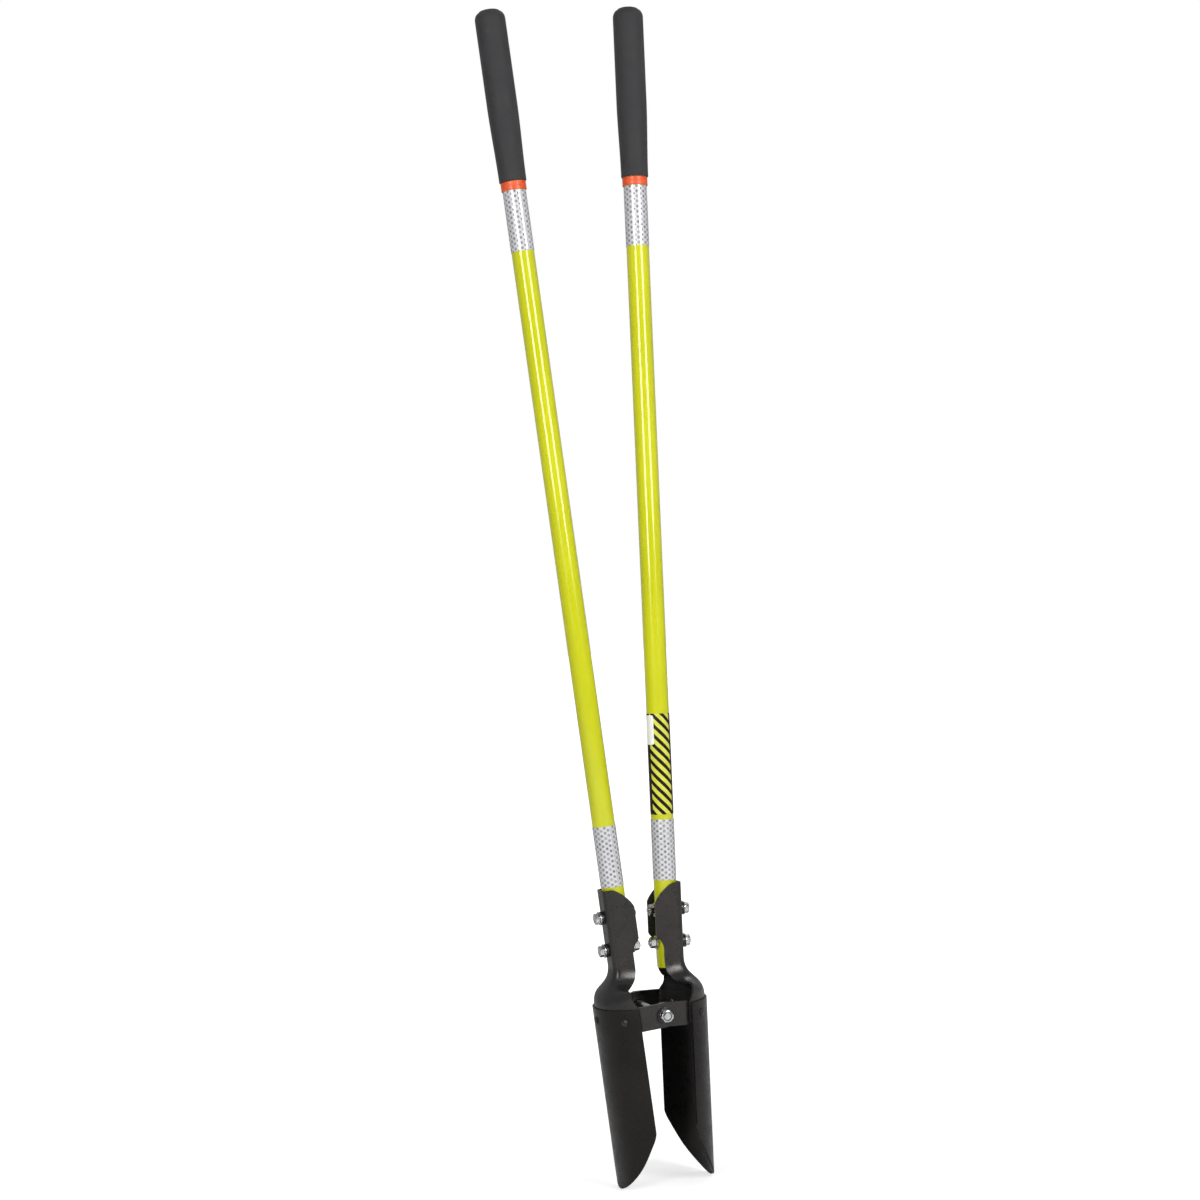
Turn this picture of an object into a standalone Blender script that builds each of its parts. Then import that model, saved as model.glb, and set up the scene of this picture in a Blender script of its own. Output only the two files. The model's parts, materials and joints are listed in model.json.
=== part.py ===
"""A clamshell post hole digger, built as the real one is: two long fibreglass handles, each
bolted into a pressed steel socket that flares into a shoulder, with a curved steel blade
riveted round the shoulder. A flat bar yoke crosses the inside of each blade, and one long
bolt through the four yoke ears is the pivot of the tool.

Metres, +Z up. X is the way the handles swing apart, Y is the pivot's axis, and Z = 0 is the
level of the blade tips. A half is drawn upright, with the pivot at its own origin and its
blade on the +X side, then hung on an empty that stands at the pivot. Both halves are the
same pressings: the left one is the right one turned half a turn about Z."""

import math

import bmesh
import bpy
from mathutils import Matrix

MM = 0.001
INCH = 0.0254
GAP = 0.3 * MM  # left between pieces that touch

HALF_OPENING = math.radians(2.92)  # lean of each half away from upright, at rest

# Handles: 1-1/8 in fibreglass tubes with a hardwood plug where the bolts clamp.
HANDLE_OFFSET = 26.7 * MM  # of a handle's axis from the pivot's axis
HANDLE_RADIUS = 0.5625 * INCH
HANDLE_WALL = 4.0 * MM
HANDLE_FOOT = 51.0 * MM  # over the pivot
HANDLE_HEAD = 1261.0 * MM
PLUG_RADIUS = 10.0 * MM
PLUG_HEAD = 172.0 * MM
ROUND_STEPS = 24  # facets round a handle and all that sits on it

# What sits on a handle, by height over the pivot.
GRIP_FOOT = 1049.5 * MM
GRIP_HEAD = 1265.5 * MM
GRIP_RADIUS = 19.2 * MM
GRIP_FOOT_RADIUS = 17.2 * MM
GRIP_TAPER = 0.45  # share of the grip's length, from its foot, over which it tapers
GRIP_DOME = 12.5 * MM
RING_FOOT = 1038.5 * MM
RING_RADIUS = 16.1 * MM
BAND_LENGTH = 3.0 * INCH
UPPER_BAND_FOOT = 961.9 * MM
LOWER_BAND_FOOT = 161.0 * MM
TAPE_THICKNESS = 0.35 * MM
TAPE_GAP = 0.15 * MM
LABEL_FOOT = 243.5 * MM
LABEL_LENGTH = 5.0 * INCH
LABEL_FACING = math.radians(-107.0)  # way the label faces, round the handle from +X
LABEL_WRAP = math.radians(166.0)
STICKER_LENGTH = 37.0 * MM
STICKER_DROP = 2.0 * MM  # under the label's top edge
STICKER_SPAN = (math.radians(-75.0), math.radians(-25.0))  # from the way the label faces

# Socket and shoulder: one pressing of steel sheet, given by its middle surface.
SHEET = 2.7 * MM
CHANNEL_WEB = HANDLE_OFFSET + HANDLE_RADIUS + SHEET / 2 + 0.35 * MM
CHANNEL_HALF_WIDTH = 16.0 * MM
CHANNEL_BEND = 6.7 * MM
CHANNEL_HEAD = 158.0 * MM
CROWN_DROP = 25.5 * MM  # height of the cut-back upper corner of each flange
CROWN_POWER = 1.5  # 1 is an ellipse, and 2 is a straight chamfer
CROWN_START = 33.0 * MM  # where a flange's edge leaves the head, from the pivot's plane
FLANGE_EDGE = 7.0 * MM
NOTCH_HEAD = 92.0 * MM
NECK_EDGE = 16.8 * MM
SHOULDER_MIDDLE = (64.0 * MM, 38.0 * MM, 40.0 * MM, 14.0 * MM)  # Bezier heights, mid-sheet
SHOULDER_EDGE = (62.0 * MM, 14.0 * MM, 50.0 * MM, 26.0 * MM)  # the same, along its edges
SHOULDER_STEPS = 10
EDGE_BOW = 8.0 * MM
EDGE_RECESS = math.radians(6.0)  # of the shoulder's edges behind the blade's, over the rim
SKIRT_FOOT = -12.0 * MM

# Blades: rolled sheet round the shoulder's skirt, with its sides cut back to a round tip.
ARC_CENTRE = -3.0 * MM
ARC_HALF_ANGLE = math.radians(60.0)
BLADE_SHEET = 2.2 * MM
BLADE_RADIUS = 74.5 * MM - BLADE_SHEET / 2
SKIRT_RADIUS = BLADE_RADIUS - BLADE_SHEET / 2 - GAP - SHEET / 2
BLADE_HEAD = 13.7 * MM
BLADE_CORNER = -145.3 * MM
BLADE_TIP = -213.5 * MM
CUT_BULGE = 3.2 * MM
CORNER_ROUND = 5.0 * MM
BLADE_STEPS = 24
TIP_REACH = ARC_CENTRE + BLADE_RADIUS + BLADE_SHEET / 2
PIVOT_HEIGHT = TIP_REACH * math.sin(HALF_OPENING) - BLADE_TIP * math.cos(HALF_OPENING)

# Yokes: 30 mm flat bar bent to follow the skirt, its two ears in different planes, so that
# a front ear laps outside the other yoke's and the back ear laps inside it.
BAR = 4.5 * MM
BAR_HALF_HEIGHT = 15.0 * MM
YOKE_RADIUS = SKIRT_RADIUS - SHEET / 2 - GAP - BAR / 2
INNER_EAR = 52.0 * MM
OUTER_EAR = INNER_EAR + BAR + 0.4 * MM
YOKE_BEND = 8.0 * MM

# Fasteners.
RIVET_ANGLES = (math.radians(-44.0), 0.0, math.radians(44.0))
RIVET_NAMES = ("front", "middle", "back")
RIVET_HEIGHT = -1.0 * MM
RIVET_RADIUS = 3.0 * MM
RIVET_HEAD_RADIUS = 4.75 * MM
RIVET_HEAD = 2.2 * MM
BOLT_HEIGHTS = {"upper": 123.5 * MM, "lower": 82.5 * MM}
BOLT_RADIUS = 5 / 32 * INCH
BOLT_FLATS = 0.5 * INCH
BOLT_HEAD = 5.6 * MM
NUT_HEIGHT = 6.8 * MM
WASHER = 1.6 * MM
WASHER_RADIUS = 8.8 * MM
SPACER = 3.8 * MM  # thick black washer under each head washer
SPACER_RADIUS = 8.3 * MM
THREAD_SHOWN = 1.8 * MM
PIVOT_RADIUS = 3 / 16 * INCH
PIVOT_FLATS = 9 / 16 * INCH
PIVOT_NUT = 8.3 * MM
PIVOT_WASHER_RADIUS = 10.3 * MM
HOLE_PLAY = 0.3 * MM  # radial, round a shank
SHANK_STEPS = 14


# Making and joining meshes.


def clear_scene():
    for obj in list(bpy.data.objects):
        bpy.data.objects.remove(obj)


def mesh_of(name, bm):
    bmesh.ops.remove_doubles(bm, verts=bm.verts[:], dist=MM / 1000)
    bmesh.ops.recalc_face_normals(bm, faces=bm.faces[:])
    mesh = bpy.data.meshes.new(name)
    bm.to_mesh(mesh)
    bm.free()
    return mesh


def bench_object(mesh):
    obj = bpy.data.objects.new(mesh.name, mesh)
    bpy.context.scene.collection.objects.link(obj)
    return obj


def finished(obj, *helpers):
    """The object's mesh with its modifiers applied. The object and its helpers are cleared away."""
    bpy.context.view_layer.update()
    graph = bpy.context.evaluated_depsgraph_get()
    mesh = bpy.data.meshes.new_from_object(obj.evaluated_get(graph))
    name = obj.name
    for used in (obj, *helpers):
        bpy.data.objects.remove(used)
    mesh.name = name
    return mesh


def combined(mesh, others, operation):
    """The mesh with each of the others cut out of it or joined to it."""
    obj = bench_object(mesh)
    helpers = [bench_object(other) for other in others]
    for helper in helpers:
        modifier = obj.modifiers.new("cut", "BOOLEAN")
        modifier.operation = operation
        modifier.object = helper
    return finished(obj, *helpers)


def drilled(mesh, cutters):
    return combined(mesh, cutters, "DIFFERENCE")


def turned(name, profile, steps):
    """A solid turned about Z from (radius, height) points. A profile that stays off the axis is closed."""
    bm = bmesh.new()
    verts = [bm.verts.new((radius, 0, height)) for radius, height in profile]
    edges = [bm.edges.new(pair) for pair in zip(verts, verts[1:])]
    if profile[0][0] > 0:
        edges.append(bm.edges.new((verts[-1], verts[0])))
    bmesh.ops.spin(
        bm,
        geom=verts + edges,
        cent=(0, 0, 0),
        axis=(0, 0, 1),
        angle=2 * math.pi,
        steps=steps,
        use_merge=True,
    )
    return mesh_of(name, bm)


def pressed(name, rows, thickness):
    """A sheet of even thickness whose middle surface runs through rows of points."""
    bm = bmesh.new()
    grid = [[bm.verts.new(point) for point in row] for row in rows]
    for upper, lower in zip(grid, grid[1:]):
        for i in range(len(upper) - 1):
            bm.faces.new((upper[i], upper[i + 1], lower[i + 1], lower[i]))
    obj = bench_object(mesh_of(name, bm))
    modifier = obj.modifiers.new("thickness", "SOLIDIFY")
    modifier.thickness = thickness
    modifier.offset = 0
    modifier.use_even_offset = True
    obj.modifiers.new("flat faces", "TRIANGULATE")
    return finished(obj)


def moved(mesh, matrix):
    mesh.transform(matrix)
    return mesh


def rod(name, radius, start, end, steps=SHANK_STEPS):
    """A round bar along Z."""
    profile = [(0, start), (radius, start), (radius, end), (0, end)]
    return turned(name, profile, steps)


def ring(name, inner, outer, start, end, steps=ROUND_STEPS):
    return turned(name, [(inner, start), (outer, start), (outer, end), (inner, end)], steps)


def hexagon(name, flats, start, end):
    return rod(name, flats / math.sqrt(3), start, end, 6)


ALONG_X = Matrix.Rotation(math.pi / 2, 4, "Y")
ALONG_Y = Matrix.Rotation(-math.pi / 2, 4, "X")
ON_HANDLE = Matrix.Translation((HANDLE_OFFSET, 0, 0))


def across_handle(height):
    """Takes a bar along Z to the line of a handle bolt, pointing outward."""
    return Matrix.Translation((0, 0, height)) @ ALONG_X


def out_of_blade(angle):
    """Takes a bar along Z to the line of a rivet, pointing out of the blade's arc."""
    centre = Matrix.Translation((ARC_CENTRE, 0, RIVET_HEIGHT))
    return centre @ Matrix.Rotation(angle, 4, "Z") @ ALONG_X


def bolt_cutters():
    reach = (-10 * MM, 70 * MM)
    radius = BOLT_RADIUS + HOLE_PLAY
    return [
        moved(rod("cutter", radius, *reach), across_handle(height))
        for height in BOLT_HEIGHTS.values()
    ]


def rivet_cutters():
    reach = (YOKE_RADIUS - 8 * MM, BLADE_RADIUS + 8 * MM)
    radius = RIVET_RADIUS + HOLE_PLAY
    return [
        moved(rod("cutter", radius, *reach), out_of_blade(angle)) for angle in RIVET_ANGLES
    ]


def bezier(heights, t):
    a, b, c, d = heights
    s = 1 - t
    return a * s**3 + 3 * b * s * s * t + 3 * c * s * t * t + d * t**3


# Handles and what sits on them. Each is turned about Z, then moved out to the handle's axis.


def handle():
    tube = ring("handle", HANDLE_RADIUS - HANDLE_WALL, HANDLE_RADIUS, HANDLE_FOOT, HANDLE_HEAD)
    return drilled(moved(tube, ON_HANDLE), bolt_cutters())


def handle_plug():
    chamfer = 1.0 * MM
    foot = HANDLE_FOOT + 1.0 * MM
    profile = [
        (0, foot),
        (PLUG_RADIUS, foot),
        (PLUG_RADIUS, PLUG_HEAD - chamfer),
        (PLUG_RADIUS - chamfer, PLUG_HEAD),
        (0, PLUG_HEAD),
    ]
    plug = turned("handle_plug", profile, 16)
    return drilled(moved(plug, ON_HANDLE), bolt_cutters())


def grip():
    """A foam sleeve with a blind bore, a long taper to its foot and a domed head."""
    bore = HANDLE_RADIUS + GAP
    length = GRIP_HEAD - GRIP_FOOT
    taper_head = GRIP_FOOT + GRIP_TAPER * length
    outside = [
        (GRIP_FOOT_RADIUS - 0.8 * MM, GRIP_FOOT),
        (GRIP_FOOT_RADIUS, GRIP_FOOT + 0.8 * MM),
    ]
    for step in range(1, 5):
        share = step / 4
        eased = share * share * (3 - 2 * share)
        radius = GRIP_FOOT_RADIUS + (GRIP_RADIUS - GRIP_FOOT_RADIUS) * eased
        outside.append((radius, GRIP_FOOT + (taper_head - GRIP_FOOT) * share))
    for step in range(7):
        turn = math.pi / 2 * step / 6
        radius = GRIP_RADIUS - GRIP_DOME * (1 - math.cos(turn))
        outside.append((radius, GRIP_HEAD - GRIP_DOME * (1 - math.sin(turn))))
    inside = [(0, HANDLE_HEAD + GAP), (bore, HANDLE_HEAD + GAP), (bore, GRIP_FOOT)]
    return moved(turned("grip", inside + outside + [(0, GRIP_HEAD)], ROUND_STEPS), ON_HANDLE)


def collar_ring():
    inner = HANDLE_RADIUS + GAP
    top = GRIP_FOOT - GAP
    return moved(ring("collar_ring", inner, RING_RADIUS, RING_FOOT, top), ON_HANDLE)


def reflective_band(foot):
    inner = HANDLE_RADIUS + TAPE_GAP
    tape = ring("band", inner, inner + TAPE_THICKNESS, foot, foot + BAND_LENGTH)
    return moved(tape, ON_HANDLE)


def wrapped_sheet(name, layer, span, foot, length):
    """Part of a turn of tape round a handle, layer 0 being next to the tube."""
    radius = HANDLE_RADIUS + TAPE_GAP + TAPE_THICKNESS / 2
    radius += layer * (TAPE_THICKNESS + TAPE_GAP)
    steps = max(4, round((span[1] - span[0]) / (2 * math.pi) * ROUND_STEPS))
    rows = []
    for height in (foot, foot + length):
        turns = [span[0] + (span[1] - span[0]) * i / steps for i in range(steps + 1)]
        rows.append([(radius * math.cos(a), radius * math.sin(a), height) for a in turns])
    return moved(pressed(name, rows, TAPE_THICKNESS), ON_HANDLE)


def hazard_label():
    span = (LABEL_FACING - LABEL_WRAP / 2, LABEL_FACING + LABEL_WRAP / 2)
    return wrapped_sheet("hazard_label", 0, span, LABEL_FOOT, LABEL_LENGTH)


def label_sticker():
    span = (LABEL_FACING + STICKER_SPAN[0], LABEL_FACING + STICKER_SPAN[1])
    foot = LABEL_FOOT + LABEL_LENGTH - STICKER_DROP - STICKER_LENGTH
    return wrapped_sheet("label_sticker", 1.4, span, foot, STICKER_LENGTH)


# Socket and shoulder.


def channel_section(edge):
    """(x, y) points round the channel, from one flange's edge over the web to the other's."""
    turn_x = CHANNEL_WEB - CHANNEL_BEND
    turn_y = CHANNEL_HALF_WIDTH - CHANNEL_BEND
    half = [(edge + (turn_x - edge) * i / 4, -CHANNEL_HALF_WIDTH) for i in range(4)]
    for step in range(4):
        turn = math.pi / 2 * step / 3
        x = turn_x + CHANNEL_BEND * math.sin(turn)
        half.append((x, -turn_y - CHANNEL_BEND * math.cos(turn)))
    half += [(CHANNEL_WEB, -turn_y * (1 - i / 3)) for i in (1, 2)]
    return half + [(CHANNEL_WEB, 0)] + [(x, -y) for x, y in reversed(half)]


def across(section):
    """Each point's place along its section, from -1 at one edge to 1 at the other."""
    lengths = [0.0]
    for a, b in zip(section, section[1:]):
        lengths.append(lengths[-1] + math.dist(a, b))
    return [2 * length / lengths[-1] - 1 for length in lengths]


def on_skirt(angle):
    """(x, y) of the skirt's middle surface at an angle round its arc."""
    return ARC_CENTRE + SKIRT_RADIUS * math.cos(angle), SKIRT_RADIUS * math.sin(angle)


def socket_rows():
    rows = []
    crown_foot = CHANNEL_HEAD - CROWN_DROP
    for step in range(6):
        turn = math.pi / 2 * step / 5
        edge = CROWN_START - (CROWN_START - FLANGE_EDGE) * math.sin(turn) ** CROWN_POWER
        height = crown_foot + CROWN_DROP * max(0.0, math.cos(turn)) ** CROWN_POWER
        rows.append([(x, y, height) for x, y in channel_section(edge)])
    straight = ((FLANGE_EDGE, BOLT_HEIGHTS["upper"] + 3.5 * MM), (FLANGE_EDGE, NOTCH_HEAD))
    notch = ((14.4 * MM, NOTCH_HEAD - 7.5 * MM), (NECK_EDGE, NOTCH_HEAD - 16 * MM))
    for edge, height in straight + notch:
        rows.append([(x, y, height) for x, y in channel_section(edge)])
    return rows


def shoulder_rows():
    """From the channel's section to the skirt's arc, the edges turning out below the middle."""
    neck = channel_section(NECK_EDGE)
    places = across(neck)
    rows = []
    for step in range(SHOULDER_STEPS + 1):
        t = step / SHOULDER_STEPS
        share = t * t * (3 - 2 * t)
        row = []
        for (x, y), place in zip(neck, places):
            arc_x, arc_y = on_skirt(place * (ARC_HALF_ANGLE - EDGE_RECESS))
            bow = EDGE_BOW * math.sin(math.pi * share) * place**4
            middle = bezier(SHOULDER_MIDDLE, t)
            height = middle + (bezier(SHOULDER_EDGE, t) - middle) * place**2
            row.append((x + (arc_x - x) * share + bow, y + (arc_y - y) * share, height))
        rows.append(row)
    heights = [point[2] for point in rows[-1]]
    for share in (0.3, 0.65, 1):
        half_angle = ARC_HALF_ANGLE - EDGE_RECESS * (1 - min(1, share / 0.3))
        row = []
        for place, height in zip(places, heights):
            x, y = on_skirt(place * half_angle)
            row.append((x, y, height + (SKIRT_FOOT - height) * share))
        rows.append(row)
    return rows


def socket():
    sheet = pressed("socket", socket_rows() + shoulder_rows(), SHEET)
    return drilled(sheet, bolt_cutters() + rivet_cutters())


# Blade and yoke.


def cut_height(angle):
    """Lower edge of a blade at an angle round its arc."""
    share = (1 - math.cos(angle)) / (1 - math.cos(ARC_HALF_ANGLE))
    height = BLADE_TIP + (BLADE_CORNER - BLADE_TIP) * share
    height -= CUT_BULGE * math.sin(math.pi * share) ** 2
    from_corner = BLADE_RADIUS * (ARC_HALF_ANGLE - abs(angle))
    if from_corner < CORNER_ROUND:
        left = CORNER_ROUND - from_corner
        height += CORNER_ROUND - math.sqrt(CORNER_ROUND**2 - left**2)
    return height


def blade_angles():
    """Even steps round the arc, with two more in each rounded corner."""
    even = [ARC_HALF_ANGLE * (2 * i / BLADE_STEPS - 1) for i in range(BLADE_STEPS + 1)]
    inset = [CORNER_ROUND * share / BLADE_RADIUS for share in (0.1, 0.4)]
    corner = [ARC_HALF_ANGLE - angle for angle in inset]
    return sorted(even + corner + [-angle for angle in corner])


def blade():
    rows = []
    for share in (0, 0.2, 0.6, 1):
        row = []
        for angle in blade_angles():
            x = ARC_CENTRE + BLADE_RADIUS * math.cos(angle)
            height = BLADE_HEAD + (cut_height(angle) - BLADE_HEAD) * share
            row.append((x, BLADE_RADIUS * math.sin(angle), height))
        rows.append(row)
    return drilled(pressed("blade", rows, BLADE_SHEET), rivet_cutters())


def ear_line(plane):
    """One end of a yoke, from the ear's rounded end to where its bend meets the arc: a list of
    (x, distance from the middle plane, half height), and the arc's angle there."""
    bend_centre_y = plane - YOKE_BEND
    reach = YOKE_RADIUS - YOKE_BEND
    meets = math.asin(bend_centre_y / reach)
    bend_centre_x = ARC_CENTRE + reach * math.cos(meets)
    points = []
    for step in range(1, 6):
        turn = math.pi / 2 * (1 - step / 5)
        points.append((-BAR_HALF_HEIGHT * math.sin(turn), plane, BAR_HALF_HEIGHT * math.cos(turn)))
    points.append((bend_centre_x, plane, BAR_HALF_HEIGHT))
    for share in (1 / 3, 2 / 3):
        turn = math.pi / 2 + (meets - math.pi / 2) * share
        x = bend_centre_x + YOKE_BEND * math.cos(turn)
        points.append((x, bend_centre_y + YOKE_BEND * math.sin(turn), BAR_HALF_HEIGHT))
    return points, meets


def yoke():
    front, front_meets = ear_line(INNER_EAR)
    back, back_meets = ear_line(OUTER_EAR)
    path = [(x, -y, half) for x, y, half in front]
    steps = 14
    for step in range(steps + 1):
        angle = -front_meets + (front_meets + back_meets) * step / steps
        x = ARC_CENTRE + YOKE_RADIUS * math.cos(angle)
        path.append((x, YOKE_RADIUS * math.sin(angle), BAR_HALF_HEIGHT))
    path += reversed(back)
    rows = [[(x, y, side * half) for x, y, half in path] for side in (1, -1)]
    reach = OUTER_EAR + 10 * MM
    pivot_cutter = moved(rod("cutter", PIVOT_RADIUS + HOLE_PLAY, -reach, reach), ALONG_Y)
    return drilled(pressed("yoke", rows, BAR), [pivot_cutter] + rivet_cutters())


# Fasteners.


def rivet(angle):
    inner = YOKE_RADIUS - BAR / 2 - GAP
    outer = BLADE_RADIUS + BLADE_SHEET / 2 + GAP
    profile = [(0, inner - RIVET_HEAD)]
    profile += [(RIVET_HEAD_RADIUS * 0.75, inner - RIVET_HEAD), (RIVET_HEAD_RADIUS, inner)]
    profile += [(RIVET_RADIUS, inner), (RIVET_RADIUS, outer), (RIVET_HEAD_RADIUS, outer)]
    profile += [(RIVET_HEAD_RADIUS * 0.8, outer + RIVET_HEAD * 0.7), (0, outer + RIVET_HEAD)]
    return moved(turned("rivet", profile, SHANK_STEPS), out_of_blade(angle))


def bolt(name, radius, flats, head, seat, tail):
    """A hex bolt along Z: its head stands on the seat and its shank runs back to the tail."""
    shank = rod(name, radius, tail, seat + head / 2)
    return combined(shank, [hexagon("head", flats, seat, seat + head)], "UNION")


def nut(name, radius, flats, start, end):
    beyond = 1 * MM
    bore = rod("cutter", radius + 0.1 * MM, start - beyond, end + beyond)
    return drilled(hexagon(name, flats, start, end), [bore])


OUTER_SPACER = CHANNEL_WEB + SHEET / 2 + GAP
OUTER_WASHER = OUTER_SPACER + SPACER + GAP
INNER_WASHER = HANDLE_OFFSET - HANDLE_RADIUS - GAP
BOLT_SEAT = OUTER_WASHER + WASHER + GAP
NUT_FACE = INNER_WASHER - WASHER - GAP


def handle_bolt(height):
    tail = NUT_FACE - NUT_HEIGHT - THREAD_SHOWN
    made = bolt("handle_bolt", BOLT_RADIUS, BOLT_FLATS, BOLT_HEAD, BOLT_SEAT, tail)
    return moved(made, across_handle(height))


def handle_nut(height):
    made = nut("handle_nut", BOLT_RADIUS, BOLT_FLATS, NUT_FACE - NUT_HEIGHT, NUT_FACE)
    return moved(made, across_handle(height))


def handle_washer(height, start, radius=WASHER_RADIUS, thickness=WASHER):
    hole = BOLT_RADIUS + HOLE_PLAY
    made = ring("handle_washer", hole, radius, start, start + thickness, 16)
    return moved(made, across_handle(height))


PIVOT_WASHER = OUTER_EAR + BAR / 2 + GAP
PIVOT_SEAT = PIVOT_WASHER + WASHER + GAP


def pivot_bolt():
    """Its head is at the back, and its thread ends at the front as far out as the head."""
    tail = -(PIVOT_SEAT + PIVOT_NUT + 0.6 * MM)
    head = -tail - PIVOT_SEAT
    return moved(bolt("pivot_bolt", PIVOT_RADIUS, PIVOT_FLATS, head, PIVOT_SEAT, tail), ALONG_Y)


def pivot_nut():
    made = nut("pivot_nut", PIVOT_RADIUS, PIVOT_FLATS, -PIVOT_SEAT - PIVOT_NUT, -PIVOT_SEAT)
    return moved(made, ALONG_Y)


def pivot_washer(side):
    ends = sorted((side * PIVOT_WASHER, side * (PIVOT_WASHER + WASHER)))
    hole = PIVOT_RADIUS + HOLE_PLAY
    return moved(ring("pivot_washer", hole, PIVOT_WASHER_RADIUS, *ends, 18), ALONG_Y)


# Materials.


def material(name, color, roughness, metallic=0.0):
    made = bpy.data.materials.new(name)
    made.use_nodes = True
    shader = made.node_tree.nodes["Principled BSDF"]
    shader.inputs["Base Color"].default_value = (*color, 1)
    shader.inputs["Roughness"].default_value = roughness
    shader.inputs["Metallic"].default_value = metallic
    return made


def materials():
    return {
        "handle_lacquer": material("handle_lacquer", (0.60, 0.69, 0.02), 0.18),
        "hardwood": material("hardwood", (0.55, 0.38, 0.20), 0.6),
        "grip_foam": material("grip_foam", (0.035, 0.035, 0.038), 0.75),
        "ring_rubber": material("ring_rubber", (0.85, 0.11, 0.02), 0.5),
        "reflective_tape": material("reflective_tape", (0.62, 0.63, 0.66), 0.3),
        "label_film": material("label_film", (0.02, 0.02, 0.02), 0.35),
        "sticker_film": material("sticker_film", (0.8, 0.8, 0.8), 0.4),
        "black_enamel": material("black_enamel", (0.018, 0.018, 0.019), 0.4),
        "zinc_plate": material("zinc_plate", (0.62, 0.63, 0.65), 0.35, 1.0),
    }


# Putting the tool together.


def half_empty(name, turn):
    empty = bpy.data.objects.new(name, None)
    empty.location = (0, 0, PIVOT_HEIGHT)
    empty.rotation_euler = (0, HALF_OPENING, turn)
    bpy.context.scene.collection.objects.link(empty)
    return empty


def place(name, mesh, parent, finish):
    """Hangs a piece on a half, in the half's own upright position."""
    if not mesh.materials:
        mesh.materials.append(finish)
    mesh.shade_smooth()
    mesh.set_sharp_from_angle(angle=math.radians(32))
    obj = bpy.data.objects.new(name, mesh)
    obj.parent = parent
    bpy.context.scene.collection.objects.link(obj)
    return obj


def half_pieces():
    """Each piece of a half as (name, mesh, material), drawn once and used on both sides."""
    pieces = [
        ("handle", handle(), "handle_lacquer"),
        ("handle_plug", handle_plug(), "hardwood"),
        ("grip", grip(), "grip_foam"),
        ("collar_ring", collar_ring(), "ring_rubber"),
        ("upper_reflective_band", reflective_band(UPPER_BAND_FOOT), "reflective_tape"),
        ("lower_reflective_band", reflective_band(LOWER_BAND_FOOT), "reflective_tape"),
        ("socket", socket(), "black_enamel"),
        ("blade", blade(), "black_enamel"),
        ("yoke", yoke(), "black_enamel"),
    ]
    for level, height in BOLT_HEIGHTS.items():
        spacer = handle_washer(height, OUTER_SPACER, SPACER_RADIUS, SPACER)
        outer = handle_washer(height, OUTER_WASHER)
        inner = handle_washer(height, INNER_WASHER - WASHER)
        pieces += [
            (f"{level}_handle_bolt", handle_bolt(height), "zinc_plate"),
            (f"{level}_head_spacer", spacer, "black_enamel"),
            (f"{level}_head_washer", outer, "zinc_plate"),
            (f"{level}_nut_washer", inner, "zinc_plate"),
            (f"{level}_handle_nut", handle_nut(height), "zinc_plate"),
        ]
    return pieces


def build():
    clear_scene()
    finishes = materials()
    left = half_empty("left_half", math.pi)
    right = half_empty("right_half", 0.0)
    for name, mesh, finish in half_pieces():
        place(f"left_{name}", mesh, left, finishes[finish])
        place(f"right_{name}", mesh, right, finishes[finish])
    for angle, end in zip(RIVET_ANGLES, RIVET_NAMES):
        opposite = RIVET_NAMES[2 - RIVET_NAMES.index(end)]
        mesh = rivet(angle)
        place(f"left_{opposite}_rivet", mesh, left, finishes["black_enamel"])
        place(f"right_{end}_rivet", mesh, right, finishes["black_enamel"])
    place("hazard_label", hazard_label(), right, finishes["label_film"])
    place("label_sticker", label_sticker(), right, finishes["sticker_film"])
    pivot_pieces = {
        "pivot_bolt": pivot_bolt(),
        "pivot_nut": pivot_nut(),
        "front_pivot_washer": pivot_washer(-1),
        "back_pivot_washer": pivot_washer(1),
    }
    for name, mesh in pivot_pieces.items():
        place(name, moved(mesh, Matrix.Rotation(-math.pi, 4, "Z")), left, finishes["zinc_plate"])


build()
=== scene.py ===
"""The looks of a clamshell post hole digger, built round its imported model.

Metres, +Z up, in the model's own frame: X is the way the handles swing apart, Y is the line of
the pivot bolt and Z = 0 is the level of the blade tips. The two halves of the tool are alike.
A half's pieces are drawn upright, with the pivot at their origin and the blade on +X, and then
stood in place, the left half turned half a turn about Z."""

import json
import math

import bmesh
import bpy
from mathutils import Matrix, Vector


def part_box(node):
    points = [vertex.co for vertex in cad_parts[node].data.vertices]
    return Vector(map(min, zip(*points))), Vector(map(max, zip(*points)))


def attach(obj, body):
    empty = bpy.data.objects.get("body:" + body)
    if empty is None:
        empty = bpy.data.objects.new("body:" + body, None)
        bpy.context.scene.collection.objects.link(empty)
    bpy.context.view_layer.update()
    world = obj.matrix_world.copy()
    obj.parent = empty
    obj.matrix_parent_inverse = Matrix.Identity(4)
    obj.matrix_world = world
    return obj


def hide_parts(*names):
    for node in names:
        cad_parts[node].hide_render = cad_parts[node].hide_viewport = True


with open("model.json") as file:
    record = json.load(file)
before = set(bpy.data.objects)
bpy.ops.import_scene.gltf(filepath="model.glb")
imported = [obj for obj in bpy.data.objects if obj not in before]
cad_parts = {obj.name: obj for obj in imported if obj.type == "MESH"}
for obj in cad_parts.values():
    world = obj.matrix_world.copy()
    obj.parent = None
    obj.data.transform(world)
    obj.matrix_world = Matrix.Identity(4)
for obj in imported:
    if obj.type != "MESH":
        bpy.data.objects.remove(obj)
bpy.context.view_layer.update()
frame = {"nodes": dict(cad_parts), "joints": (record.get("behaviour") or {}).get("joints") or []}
MM = 0.001


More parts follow.
